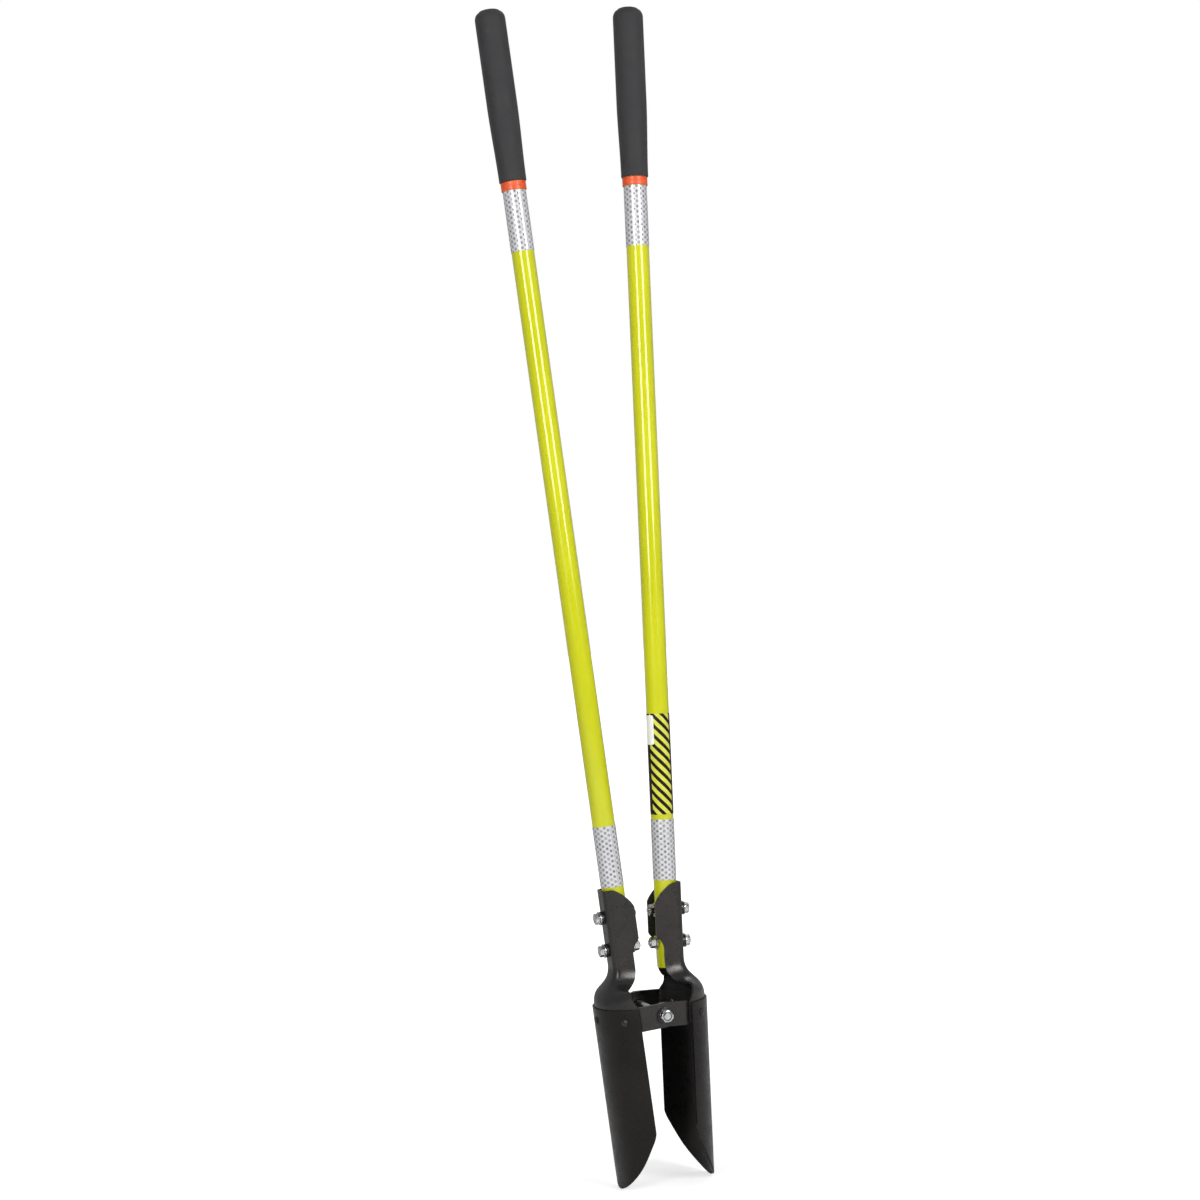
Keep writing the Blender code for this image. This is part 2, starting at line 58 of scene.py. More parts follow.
# Handles. Pultruded fibreglass tubes, 28.6 mm across, in a glossy safety-yellow gel coat that
# shows a little of the glass fibre running along them. Each is drilled for two bolts at its
# foot, where a hardwood plug inside keeps the bolts from crushing it.

pivot_height = frame["joints"][0]["pos_m"][2]
tube_low, tube_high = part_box("right_handle")
handle_radius = (tube_high.y - tube_low.y) / 2
lean = 0.0  # of the right half, clockwise seen from the front
for _ in range(6):
    run = tube_high.x - tube_low.x - 2 * handle_radius * math.cos(lean)
    rise = tube_high.z - tube_low.z - 2 * handle_radius * math.sin(lean)
    lean = math.atan2(run, rise)

SHARP_EDGE = math.radians(40)
HALVES = ("left", "right")
LEVELS = ("upper", "lower")
half_place = {}
for side, turn in zip(HALVES, (math.pi, 0.0)):
    swing = Matrix.Rotation(turn, 4, "Z") @ Matrix.Rotation(lean, 4, "Y")
    half_place[side] = Matrix.Translation((0, 0, pivot_height)) @ swing


def upright_box(node, side="right"):
    """Lowest and highest corner of a CAD node, seen in its half's own upright frame."""
    upright = half_place[side].inverted()
    points = [upright @ vertex.co for vertex in frame["nodes"][node].data.vertices]
    lowest = Vector([min(point[axis] for point in points) for axis in range(3)])
    highest = Vector([max(point[axis] for point in points) for axis in range(3)])
    return lowest, highest


def in_scene(name, data):
    """A new object of the scene."""
    thing = bpy.data.objects.new(name, data)
    bpy.context.scene.collection.objects.link(thing)
    return thing


def written(bm, name):
    """The mesh that a bmesh has worked out."""
    mesh = bpy.data.meshes.new(name)
    bm.to_mesh(mesh)
    bm.free()
    return mesh


def shaded(mesh):
    """The mesh shaded smooth, apart from its sharp edges."""
    mesh.shade_smooth()
    mesh.set_sharp_from_angle(angle=SHARP_EDGE)
    return mesh


def skinned(name, rings, looped=False):
    """A mesh through rings of points. A ring of one point is a pole."""
    bm = bmesh.new()
    rows = [[bm.verts.new(point) for point in ring] for ring in rings]
    count = max(len(row) for row in rows)
    for below, above in zip(rows, rows[1:] + rows[:1] if looped else rows[1:]):
        for i in range(count):
            j = (i + 1) % count
            corners = [below[i % len(below)], below[j % len(below)]]
            corners += [above[j % len(above)], above[i % len(above)]]
            bm.faces.new(tuple(dict.fromkeys(corners)))
    bmesh.ops.recalc_face_normals(bm, faces=bm.faces[:])
    return shaded(written(bm, name))


def circle(radius, height, count):
    if radius == 0:
        return [(0, 0, height)]
    turns = [2 * math.pi * i / count for i in range(count)]
    return [(radius * math.cos(turn), radius * math.sin(turn), height) for turn in turns]


def softened(corners, radius, steps=3):
    """The outline with its corners rounded. A corner may carry its own radius as a third value."""
    outline = []
    for i, corner in enumerate(corners):
        here = Vector(corner[:2])
        back = Vector(corners[i - 1][:2]) - here
        ahead = Vector(corners[(i + 1) % len(corners)][:2]) - here
        cut = corner[2] if len(corner) > 2 else radius
        cut = min(cut, back.length * 0.48, ahead.length * 0.48)
        if cut == 0 or here.x == 0:
            outline.append(tuple(here))
            continue
        start = here + back.normalized() * cut
        end = here + ahead.normalized() * cut
        for step in range(steps + 1):
            t = step / steps
            outline.append(tuple(start * (1 - t) ** 2 + here * 2 * t * (1 - t) + end * t * t))
    return outline


def turned(name, outline, count=96):
    """A piece turned about Z. An outline that stays off the axis is a ring's, and closes."""
    rings = [circle(radius, height, count) for radius, height in outline]
    return skinned(name, rings, looped=outline[0][0] > 0)


def drilled(mesh, cutters):
    """The mesh with the cutters cut out of it."""
    work = in_scene(mesh.name, mesh)
    tools = [in_scene("drill", cutter) for cutter in cutters]
    for tool in tools:
        work.modifiers.new("hole", "BOOLEAN").object = tool
    return settled(work, tools)


def settled(work, tools=()):
    """The mesh of a work object with its modifiers applied, the bench cleared after it."""
    bpy.context.view_layer.update()
    graph = bpy.context.evaluated_depsgraph_get()
    mesh = bpy.data.meshes.new_from_object(work.evaluated_get(graph))
    for used in (work, *tools):
        bpy.data.objects.remove(used)
    return mesh


def placed(mesh, name, side, nodes, slot, material, own=Matrix()):
    """A finished piece, stood in its half, that stands for the CAD nodes and rides with them."""
    piece = in_scene(name, mesh)
    piece.data.materials.clear()
    piece.data.materials.append(material)
    piece.matrix_world = half_place[side] @ own
    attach(piece, f"{side}_half")
    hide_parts(*nodes)
    return piece


class Finish:
    """A material as it is mixed. A socket takes a number, a colour or another node's output."""

    def __init__(self, name, **constants):
        self.material = bpy.data.materials.new(name)
        self.material.use_nodes = True
        self.tree = self.material.node_tree
        self.shader = self.tree.nodes["Principled BSDF"]
        self.give(self.shader, **constants)
        self.where = self.add("TexCoord").outputs["Object"]

    def join(self, socket, value):
        if isinstance(value, bpy.types.NodeSocket):
            self.tree.links.new(value, socket)
        elif hasattr(value, "__len__") and socket.type == "RGBA":
            socket.default_value = (*value, 1.0)
        else:
            socket.default_value = value

    def give(self, node, **sockets):
        for name, value in sockets.items():
            self.join(node.inputs[name.replace("_", " ")], value)

    def add(self, kind, settings=(), **sockets):
        node = self.tree.nodes.new("ShaderNode" + kind)
        for name, value in dict(settings).items():
            setattr(node, name, value)
        self.give(node, **sockets)
        return node

    def math(self, operation, *values, clamp=False):
        node = self.add("Math", {"operation": operation, "use_clamp": clamp})
        for socket, value in zip(node.inputs, values):
            self.join(socket, value)
        return node.outputs[0]

    def stretch(self, scale, where=None):
        """Coordinates scaled along each axis, for a pattern that runs one way."""
        node = self.add("Mapping", Vector=self.where if where is None else where, Scale=scale)
        return node.outputs[0]

    def noise(self, scale, detail=3.0, rough=0.55, where=None, warp=0.0):
        place = self.where if where is None else where
        node = self.add(
            "TexNoise", Vector=place, Scale=scale, Detail=detail, Roughness=rough, Distortion=warp
        )
        return node.outputs["Fac"]

    def cells(self, scale, feature="F1", where=None, randomness=1.0):
        place = self.where if where is None else where
        node = self.add("TexVoronoi", {"feature": feature}, Vector=place, Scale=scale)
        node.inputs["Randomness"].default_value = randomness
        return node.outputs["Distance"]

    def ramp(self, value, low, high, first=0.0, last=1.0):
        """The value taken smoothly from low..high to first..last."""
        node = self.add("MapRange", {"interpolation_type": "SMOOTHSTEP"}, Value=value)
        for i, limit in enumerate((low, high, first, last), start=1):
            node.inputs[i].default_value = limit
        return node.outputs["Result"]

    def mix(self, share, first, second):
        node = self.add("Mix", {"data_type": "RGBA"})
        self.join(node.inputs[0], share)
        self.join(node.inputs[6], first)
        self.join(node.inputs[7], second)
        return node.outputs[2]

    def bumps(self, *layers):
        """Bump from (strength, depth in metres, height) layers, the first one deepest."""
        normal = None
        for strength, depth, height in layers:
            node = self.add("Bump", Strength=strength, Distance=depth, Height=height)
            if normal is not None:
                self.join(node.inputs["Normal"], normal)
            normal = node.outputs["Normal"]
        self.join(self.shader.inputs["Normal"], normal)


handle_low, handle_high = upright_box("right_handle")
handle_offset = (handle_low.x + handle_high.x) / 2
handle_foot, handle_head = handle_low.z, handle_high.z
on_handle = Matrix.Translation((handle_offset, 0, 0))
HANDLE_WALL = 4.0 * MM
BOLT_RADIUS = 5 / 32 * 0.0254
BOLT_PLAY = 0.3 * MM
DRILL_SPAN = (-10 * MM, 70 * MM)  # along X, past both sides of handle and socket
bolt_heights = []
for level in LEVELS:
    bolt_low, bolt_high = upright_box(f"right_{level}_handle_bolt")
    bolt_heights.append((bolt_low.z + bolt_high.z) / 2)


def drill(radius, start, end, count=32):
    """A drill along Z."""
    return turned("drill", [(0, start), (radius, start), (radius, end), (0, end)], count)


def handle_drills():
    """Drills for the two handle bolts, along X, in an upright half's own frame."""
    drills = []
    for height in bolt_heights:
        bit = drill(BOLT_RADIUS + BOLT_PLAY, *DRILL_SPAN)
        bit.transform(Matrix.Translation((0, 0, height)) @ Matrix.Rotation(math.pi / 2, 4, "Y"))
        drills.append(bit)
    return drills


def gel_coat():
    """Safety yellow with a faint grain of glass fibre, handling marks and a clear gloss."""
    coat = Finish("safety_yellow_gel_coat", Coat_Weight=0.8, Coat_Roughness=0.13, IOR=1.36)
    grain = coat.noise(1.0, 2.0, 0.6, coat.stretch((1400.0, 1400.0, 9.0)))
    clouds = coat.noise(1.0, 3.0, 0.5, coat.stretch((30.0, 30.0, 5.0)))
    yellow = coat.mix(coat.ramp(clouds, 0.35, 0.65), (0.576, 0.600, 0.002), (0.640, 0.655, 0.005))
    fibre = coat.mix(coat.ramp(grain, 0.55, 0.80, 0.0, 0.22), yellow, (0.43, 0.455, 0.004))
    rubbed = coat.noise(1.0, 5.0, 0.7, coat.stretch((260.0, 260.0, 60.0)))
    marks = coat.ramp(rubbed, 0.70, 0.78, 0.0, 0.35)
    coat.give(coat.shader, Base_Color=coat.mix(marks, fibre, (0.34, 0.355, 0.04)))
    coat.give(coat.shader, Roughness=coat.ramp(clouds, 0.3, 0.7, 0.22, 0.32))
    peel = coat.noise(420.0, 2.0)
    coat.bumps((0.18, 0.00012, peel), (0.22, 0.00005, grain))
    return coat.material


safety_yellow = gel_coat()
tube_outline = softened(
    [
        (handle_radius - HANDLE_WALL, handle_foot),
        (handle_radius, handle_foot),
        (handle_radius, handle_head),
        (handle_radius - HANDLE_WALL, handle_head),
    ],
    0.5 * MM,
)
for side in HALVES:
    tube = turned("tube", tube_outline)
    tube.transform(on_handle)
    tube = drilled(tube, handle_drills())
    tube.transform(on_handle.inverted())
    own = ([f"{side}_handle"], "handle_lacquer", safety_yellow, on_handle)
    placed(shaded(tube), f"{side}_handle_tube", side, *own)


# Plugs. A turned hardwood dowel glued into each handle's foot, drilled with it. Only its end
# grain shows, up inside the socket.


def hardwood():
    wood = Finish("plug_hardwood")
    rings = wood.add("TexWave", {"wave_type": "RINGS", "rings_direction": "Z"}, Scale=150.0)
    wood.give(rings, Vector=wood.where, Distortion=5.0, Detail=3.0, Detail_Scale=1.5)
    pores = wood.noise(1.0, 3.0, 0.6, wood.stretch((2400.0, 2400.0, 120.0)))
    tone = wood.mix(rings.outputs["Fac"], (0.42, 0.26, 0.13), (0.62, 0.43, 0.24))
    wood.give(wood.shader, Base_Color=wood.mix(wood.ramp(pores, 0.6, 0.7), tone, (0.2, 0.11, 0.05)))
    wood.give(wood.shader, Roughness=wood.ramp(pores, 0.3, 0.7, 0.55, 0.75))
    wood.bumps((0.4, 0.0002, pores))
    return wood.material


plug_wood = hardwood()
for side in HALVES:
    frame["nodes"][f"{side}_handle_plug"].data.materials.clear()
    frame["nodes"][f"{side}_handle_plug"].data.materials.append(plug_wood)


# Grips. A closed-cell foam sleeve moulded with a blind, domed end and pushed over the handle's
# head. It is fullest in its upper half and tapers to its foot, and the dome keeps the ring of
# its mould's core plug.

grip_low, grip_high = upright_box("right_grip")
grip_radius = grip_high.y
GRIP_FOOT_RADIUS = 17.2 * MM
GRIP_TAPER = 0.45
GRIP_DOME = 12.5 * MM
MOULD_RING = math.radians(52)  # up the dome
MOULD_RING_DEPTH = 1.0 * MM
MOULD_RING_WIDTH = 1.1 * MM


def grip_radius_at(height):
    """The sleeve's outer radius, from its rolled foot to the start of the dome."""
    share = (height - grip_low.z) / (GRIP_TAPER * (grip_high.z - grip_low.z))
    share = min(1.0, max(0.0, share))
    eased = share * share * (3 - 2 * share)
    return GRIP_FOOT_RADIUS + (grip_radius - GRIP_FOOT_RADIUS) * eased


def grip_outline():
    bore = handle_radius + 0.3 * MM
    shoulder = grip_high.z - GRIP_DOME
    outline = [(0, handle_head + 0.3 * MM), (bore, handle_head + 0.3 * MM)]
    outline += [(bore, grip_low.z + 0.8 * MM), (bore + 0.4 * MM, grip_low.z + 0.15 * MM)]
    foot_roll = 1.2 * MM
    for step in range(5):
        turn = math.pi / 2 * step / 4
        radius = GRIP_FOOT_RADIUS - foot_roll * (1 - math.sin(turn))
        outline.append((radius, grip_low.z + foot_roll * (1 - math.cos(turn))))
    for step in range(1, 41):
        height = grip_low.z + foot_roll + (shoulder - grip_low.z - foot_roll) * step / 40
        outline.append((grip_radius_at(height), height))
    for step in range(1, 61):
        turn = math.pi / 2 * step / 60
        off_ring = (turn - MOULD_RING) * GRIP_DOME / MOULD_RING_WIDTH
        reach = GRIP_DOME - MOULD_RING_DEPTH * math.exp(-off_ring * off_ring)
        radius = grip_radius - GRIP_DOME + reach * math.cos(turn)
        outline.append((radius, shoulder + reach * math.sin(turn)))
    flat = grip_radius - GRIP_DOME
    outline += [(flat * share, grip_high.z) for share in (0.66, 0.33, 0)]
    return outline


def foam():
    """Charcoal foam rubber: a skin full of fine pores darkened with painted shade, with a few pale
    scuffs.
    """
    rubber = Finish("charcoal_foam_rubber", Sheen_Weight=0.12, Sheen_Roughness=0.5)
    clouds = rubber.noise(38.0, 4.0)
    pores = rubber.cells(1100.0)
    grit = rubber.noise(900.0, 3.0, 0.7)
    tone = rubber.mix(rubber.ramp(clouds, 0.3, 0.7), (0.016, 0.016, 0.0178), (0.025, 0.025, 0.0275))
    # Painted shade: the colour is darker in each pore's pit.
    pores_painted_shade = rubber.mix(rubber.ramp(pores, 0.0, 0.22, 0.75, 0.0), tone, (0.008, 0.008, 0.009))
    scuffs = rubber.noise(1.0, 3.0, 0.8, rubber.stretch((130.0, 130.0, 70.0)), 0.6)
    scuffs = rubber.math("MULTIPLY", rubber.ramp(scuffs, 0.69, 0.76), rubber.ramp(grit, 0.4, 0.6))
    worn = rubber.mix(rubber.math("MULTIPLY", scuffs, 0.5), pores_painted_shade, (0.16, 0.16, 0.155))
    rubber.give(rubber.shader, Base_Color=worn)
    rubber.give(rubber.shader, Roughness=rubber.ramp(clouds, 0.3, 0.7, 0.62, 0.80))
    rubber.bumps(
        (0.35, 0.0006, clouds),
        (0.55, 0.00035, rubber.ramp(pores, 0.0, 0.35)),
        (0.45, 0.00018, grit),
    )
    return rubber.material


grip_foam = foam()
for side in HALVES:
    sleeve = turned("sleeve", grip_outline(), 128)
    own = ([f"{side}_grip"], "grip_foam", grip_foam, on_handle)
    piece = placed(sleeve, f"{side}_grip_sleeve", side, *own)


# Collar rings. A moulded ring of orange rubber, rolled up against the foot of each grip, with
# the fine flash line of its mould round the middle.

ring_low, ring_high = upright_box("right_collar_ring")
RING_FLASH = 0.25 * MM


def ring_outline():
    inner = handle_radius + 0.3 * MM
    outer = ring_high.y
    middle = (ring_low.z + ring_high.z) / 2
    corners = [
        (inner, ring_low.z, 0.5 * MM),
        (outer - 0.1 * MM, ring_low.z, 1.3 * MM),
        (outer - RING_FLASH, middle - 0.5 * MM, 0.1 * MM),
        (outer, middle, 0.1 * MM),
        (outer - RING_FLASH, middle + 0.5 * MM, 0.1 * MM),
        (outer - 0.1 * MM, ring_high.z, 1.3 * MM),
        (inner, ring_high.z, 0.5 * MM),
    ]
    return softened(corners, 0.5 * MM, 5)


def orange_rubber():
    rubber = Finish("orange_rubber", IOR=1.5, Coat_Weight=0.15, Coat_Roughness=0.25)
    clouds = rubber.noise(170.0, 4.0)
    specks = rubber.noise(1300.0, 2.0, 0.6)
    tone = rubber.mix(rubber.ramp(clouds, 0.3, 0.7), (0.70, 0.070, 0.010), (0.81, 0.110, 0.022))
    tone = rubber.mix(rubber.ramp(specks, 0.66, 0.75), tone, (0.35, 0.07, 0.04))
    rubber.give(rubber.shader, Base_Color=tone)
    rubber.give(rubber.shader, Roughness=rubber.ramp(clouds, 0.3, 0.7, 0.34, 0.50))
    rubber.bumps((0.3, 0.0002, clouds), (0.3, 0.00006, specks))
    return rubber.material


ring_rubber = orange_rubber()
for side in HALVES:
    own = ([f"{side}_collar_ring"], "ring_rubber", ring_rubber, on_handle)
    placed(turned("ring", ring_outline()), f"{side}_rubber_collar", side, *own)


# Reflective bands. Silver safety film, 76 mm wide, wrapped once round the handle with a short
# overlap at the back. Under its clear face a net of small cells shows as staggered grey dots.

TAPE_THICKNESS = 0.35 * MM
TAPE_OVERLAP = math.radians(14)
TAPE_SEAM = math.radians(90)  # at the back
TAPE_GAP = 0.12 * MM  # of glue, under any film
CLIMB = math.radians(4)
CELL_ACROSS = 4.4 * MM  # from one column of dots to the next, round the handle
CELL_ALONG = 6.5 * MM


def wrapped(name, inner, thickness, start, end, foot, head, corner=0.0, steps=96, lift=0.0):
    """Film wrapped round a handle, from one angle to another, its cut corners rounded. The film
    climbs by the lift over its last few degrees, to lie on its own start. Its UV map gives
    metres round from its middle and up from its foot."""
    bm = bmesh.new()
    uv = bm.loops.layers.uv.new("wrap")
    middle = (start + end) / 2
    places = {}
    columns = []
    cuts = [i / steps for i in range(steps + 1)]
    if corner > 0:
        inset = [corner / (inner * (end - start)) * share for share in (0.08, 0.3, 0.6, 1.0)]
        cuts = sorted(set(cuts) | set(inset) | {1 - share for share in inset})
    for cut in cuts:
        angle = start + (end - start) * cut
        from_end = inner * (end - start) * min(cut, 1 - cut)
        short = 0.0
        if from_end < corner:
            short = corner - math.sqrt(corner**2 - (corner - from_end) ** 2)
        climb = min(1.0, max(0.0, (angle - start - 2 * math.pi) / CLIMB + 1))
        rise = lift * climb
        column = []
        for layer in (0, 1):
            radius = inner + rise + layer * thickness
            for share in (0, 0.02, 0.5, 0.98, 1):
                tuck = 0.35 * thickness * (share in (0, 1)) * (1 if layer else -1)
                height = foot + short + (head - foot - 2 * short) * share
                reach = radius - tuck
                vert = bm.verts.new((reach * math.cos(angle), reach * math.sin(angle), height))
                places[vert] = ((angle - middle) * inner, height - foot)
                column.append(vert)
        columns.append(column)
    rim = [0, 1, 2, 3, 4, 9, 8, 7, 6, 5]
    for one, two in zip(columns, columns[1:]):
        for i, j in zip(rim, rim[1:] + rim[:1]):
            bm.faces.new((one[i], one[j], two[j], two[i]))
    for column in (columns[0], columns[-1]):
        for i in range(4):
            bm.faces.new((column[i], column[i + 1], column[i + 6], column[i + 5]))
    bmesh.ops.recalc_face_normals(bm, faces=bm.faces[:])
    for face in bm.faces:
        for loop in face.loops:
            loop[uv].uv = places[loop.vert]
    return shaded(written(bm, name))


def reflective_film():
    """Bright grey film with a staggered net of darker cells, some of them faint."""
    film = Finish("reflective_film", Metallic=0.25, Coat_Weight=1.0, Coat_Roughness=0.05)
    flat = film.add("UVMap", {"uv_map": "wrap"}).outputs[0]
    dots = []
    for shift in ((0.0, 0.0, 0.0), (CELL_ACROSS, CELL_ALONG / 2, 0.0)):
        moved = film.add("VectorMath", {"operation": "ADD"})
        film.join(moved.inputs[0], flat)
        moved.inputs[1].default_value = shift
        wrap = film.add("VectorMath", {"operation": "WRAP"})
        film.join(wrap.inputs[0], moved.outputs[0])
        wrap.inputs[1].default_value = (CELL_ACROSS, CELL_ALONG / 2, 1.0)
        wrap.inputs[2].default_value = (-CELL_ACROSS, -CELL_ALONG / 2, -1.0)
        length = film.add("VectorMath", {"operation": "LENGTH"})
        film.join(length.inputs[0], wrap.outputs[0])
        dots.append(length.outputs["Value"])
    from_dot = film.math("MINIMUM", *dots)
    fading = film.noise(230.0, 3.0, 0.6)
    cell = film.ramp(from_dot, 0.9 * MM, 1.9 * MM, 1.0, 0.0)
    cell = film.math("MULTIPLY", cell, film.ramp(fading, 0.38, 0.58, 0.35, 1.0))
    net = film.ramp(from_dot, 2.1 * MM, 2.7 * MM)
    weave = film.noise(700.0, 3.0, 0.7)
    silver = film.mix(film.ramp(weave, 0.3, 0.7), (0.49, 0.49, 0.51), (0.63, 0.63, 0.65))
    silver = film.mix(film.math("MULTIPLY", net, 0.7), silver, (0.80, 0.80, 0.82))
    film.give(film.shader, Base_Color=film.mix(cell, silver, (0.155, 0.155, 0.17)))
    film.give(film.shader, Roughness=film.ramp(weave, 0.3, 0.7, 0.30, 0.45))
    film.bumps((0.35, 0.00025, fading), (0.5, 0.00012, net))
    return film.material


reflective_tape = reflective_film()
for side in HALVES:
    for level in LEVELS:
        node = f"{side}_{level}_reflective_band"
        band_low, band_high = upright_box(node, side)
        span = (TAPE_SEAM, TAPE_SEAM + 2 * math.pi + TAPE_OVERLAP, band_low.z, band_high.z)
        film = (handle_radius + TAPE_GAP, TAPE_THICKNESS, *span)
        tape = wrapped("tape", *film, steps=150, lift=TAPE_THICKNESS + 0.05 * MM)
        own = ([node], "reflective_tape", reflective_tape, on_handle)
        placed(tape, f"{side}_{level}_tape", side, *own)


# Hazard label. A printed film on the right handle, nearly half way round it: black stripes on
# yellow between two black margins, under a clear satin face. A small blank white sticker is
# stuck over its upper corner.

label_low, label_high = upright_box("hazard_label")
sticker_low, sticker_high = upright_box("label_sticker")
LABEL_FACING = math.radians(-107)
LABEL_HALF_WRAP = math.radians(83)
LABEL_MARGINS = (8.0 * MM, 5.5 * MM)  # black, at its left and its right
STRIPE_PITCH = 12.7 * MM  # up the label
STRIPE_SLOPE = 1.03
STRIPE_BLACK = 0.47  # share of the pitch
STRIPE_START = 3.8 * MM  # up from the middle of the foot
PRINT_EDGE = 0.12 * MM  # soft edge of the ink, either way
STICKER_THICKNESS = 0.25 * MM
STICKER_FROM = LABEL_FACING - math.radians(75)
STICKER_TO = LABEL_FACING - math.radians(25)


def stripe_print():
    """The label's print, drawn by metres round (x) and up (y) from the middle of its foot."""
    ink = Finish("hazard_stripe_film", Coat_Weight=0.08, Coat_Roughness=0.2, IOR=1.3)
    flat = ink.add("SeparateXYZ", Vector=ink.add("UVMap", {"uv_map": "wrap"}).outputs[0])
    across, along = flat.outputs["X"], flat.outputs["Y"]
    ragged = ink.math("MULTIPLY", ink.math("SUBTRACT", ink.noise(900.0, 2.0), 0.5), 0.5 * MM)
    climb = ink.math("ADD", ink.math("MULTIPLY", across, STRIPE_SLOPE), along)
    climb = ink.math("ADD", climb, ragged)
    saw = ink.math("PINGPONG", ink.math("SUBTRACT", climb, STRIPE_START), STRIPE_PITCH / 2)
    edge = STRIPE_PITCH / 2 * STRIPE_BLACK
    stripe = ink.ramp(saw, edge - PRINT_EDGE, edge + PRINT_EDGE, 1.0, 0.0)
    half_width = handle_radius * LABEL_HALF_WRAP
    left, right = LABEL_MARGINS
    off_middle = ink.math("ADD", across, (right - left) / 2)
    start = half_width - (left + right) / 2
    off_middle = ink.math("ABSOLUTE", off_middle)
    margin = ink.ramp(off_middle, start - PRINT_EDGE, start + PRINT_EDGE)
    black = ink.math("MAXIMUM", stripe, margin)
    mottle = ink.noise(260.0, 4.0)
    yellow = ink.mix(ink.ramp(mottle, 0.3, 0.7), (0.63, 0.63, 0.065), (0.71, 0.705, 0.095))
    dark = ink.mix(ink.ramp(mottle, 0.35, 0.7), (0.003, 0.0025, 0.001), (0.008, 0.007, 0.004))
    ink.give(ink.shader, Base_Color=ink.mix(black, yellow, dark))
    ink.give(ink.shader, Roughness=ink.ramp(mottle, 0.3, 0.7, 0.30, 0.44))
    ink.bumps((0.3, 0.0002, ink.noise(160.0, 2.0)), (0.25, 0.00003, black))
    return ink.material


def sticker_film():
    film = Finish("white_sticker_film", Coat_Weight=0.3, Coat_Roughness=0.2)
    fibres = film.noise(1500.0, 3.0, 0.7)
    stain = film.noise(90.0, 4.0)
    tone = film.mix(film.ramp(fibres, 0.3, 0.7), (0.94, 0.94, 0.93), (0.99, 0.99, 0.985))
    tone = film.mix(film.ramp(stain, 0.5, 0.8, 0.0, 0.4), tone, (0.80, 0.78, 0.73))
    film.give(film.shader, Base_Color=tone)
    film.give(film.shader, Roughness=film.ramp(fibres, 0.3, 0.7, 0.38, 0.55))
    film.bumps((0.3, 0.0002, stain), (0.2, 0.00003, fibres))
    return film.material


turn = (LABEL_FACING - LABEL_HALF_WRAP, LABEL_FACING + LABEL_HALF_WRAP)
film = (handle_radius + TAPE_GAP, TAPE_THICKNESS, *turn, label_low.z, label_high.z)
label = wrapped("label", *film, corner=2.0 * MM)
own = (["hazard_label"], "label_film", stripe_print(), on_handle)
placed(label, "hazard_stripe_label", "right", *own)
on_label = handle_radius + TAPE_GAP + TAPE_THICKNESS + 0.1 * MM
turn = (STICKER_FROM, STICKER_TO)
film = (on_label, STICKER_THICKNESS, *turn, sticker_low.z, sticker_high.z)
sticker = wrapped("sticker", *film, corner=2.5 * MM, steps=32)
own = (["label_sticker"], "sticker_film", sticker_film(), on_handle)
placed(sticker, "blank_white_sticker", "right", *own)


# Sockets. Each is pressed from one piece of 2.7 mm sheet: a deep channel that clasps the
# handle's foot, with high rounded cheeks, flaring through a shoulder to a round skirt. It is
# dipped in black enamel, which draws thin and shiny along its sheared edges. The lighter
# colour along those edges is partly paint worn thin and partly a painted highlight.

SHEET = 2.7 * MM
CHANNEL_WEB = handle_offset + handle_radius + SHEET / 2 + 0.35 * MM
CHANNEL_HALF_WIDTH = 16.0 * MM
CHANNEL_BEND = 6.7 * MM
CHANNEL_HEAD = 158.0 * MM
CROWN_DROP = 25.5 * MM
CROWN_POWER = 1.5
CROWN_START = 33.0 * MM
CHEEK_EDGE = 7.0 * MM
NECK_EDGE = 16.8 * MM
NOTCH_EDGES = (CHEEK_EDGE, 8.0 * MM, 16.2 * MM, NECK_EDGE)  # Bezier: edge's place, top to foot
NOTCH_HEIGHTS = (93.5 * MM, 88.5 * MM, 86.0 * MM, 76.0 * MM)
SHOULDER_MIDDLE = (64.0 * MM, 38.0 * MM, 40.0 * MM, 14.0 * MM)
SHOULDER_EDGE = (62.0 * MM, 14.0 * MM, 50.0 * MM, 26.0 * MM)
EDGE_BOW = 8.0 * MM
EDGE_RECESS = math.radians(6.0)
SKIRT_FOOT = -12.0 * MM
ARC_CENTRE = -3.0 * MM
ARC_HALF_ANGLE = math.radians(60.0)
BLADE_SHEET = 2.2 * MM
BLADE_RADIUS = 74.5 * MM - BLADE_SHEET / 2
SKIRT_RADIUS = BLADE_RADIUS - BLADE_SHEET / 2 - 0.3 * MM - SHEET / 2
RIVET_ANGLES = {"front": math.radians(-44.0), "middle": 0.0, "back": math.radians(44.0)}
RIVET_HEIGHT = -1.0 * MM
RIVET_RADIUS = 3.0 * MM
SHEARED_EDGE = math.radians(42)
WORN_EDGE = math.radians(16)  # between the faces of a rounded edge


def bezier(controls, t):
    a, b, c, d = controls
    s = 1 - t
    return a * s**3 + 3 * b * s * s * t + 3 * c * s * t * t + d * t**3


def smooth(t):
    return t * t * (3 - 2 * t)


def channel_section(edge):
    """(x, y) points round the channel, from one cheek's edge over the web to the other's."""
    turn_x = CHANNEL_WEB - CHANNEL_BEND
    turn_y = CHANNEL_HALF_WIDTH - CHANNEL_BEND
    half = [(edge + (turn_x - edge) * i / 9, -CHANNEL_HALF_WIDTH) for i in range(9)]
    for step in range(9):
        turn = math.pi / 2 * step / 8
        x = turn_x + CHANNEL_BEND * math.sin(turn)
        half.append((x, -turn_y - CHANNEL_BEND * math.cos(turn)))
    half += [(CHANNEL_WEB, -turn_y * (1 - i / 5)) for i in (1, 2, 3, 4)]
    return half + [(CHANNEL_WEB, 0)] + [(x, -y) for x, y in reversed(half)]


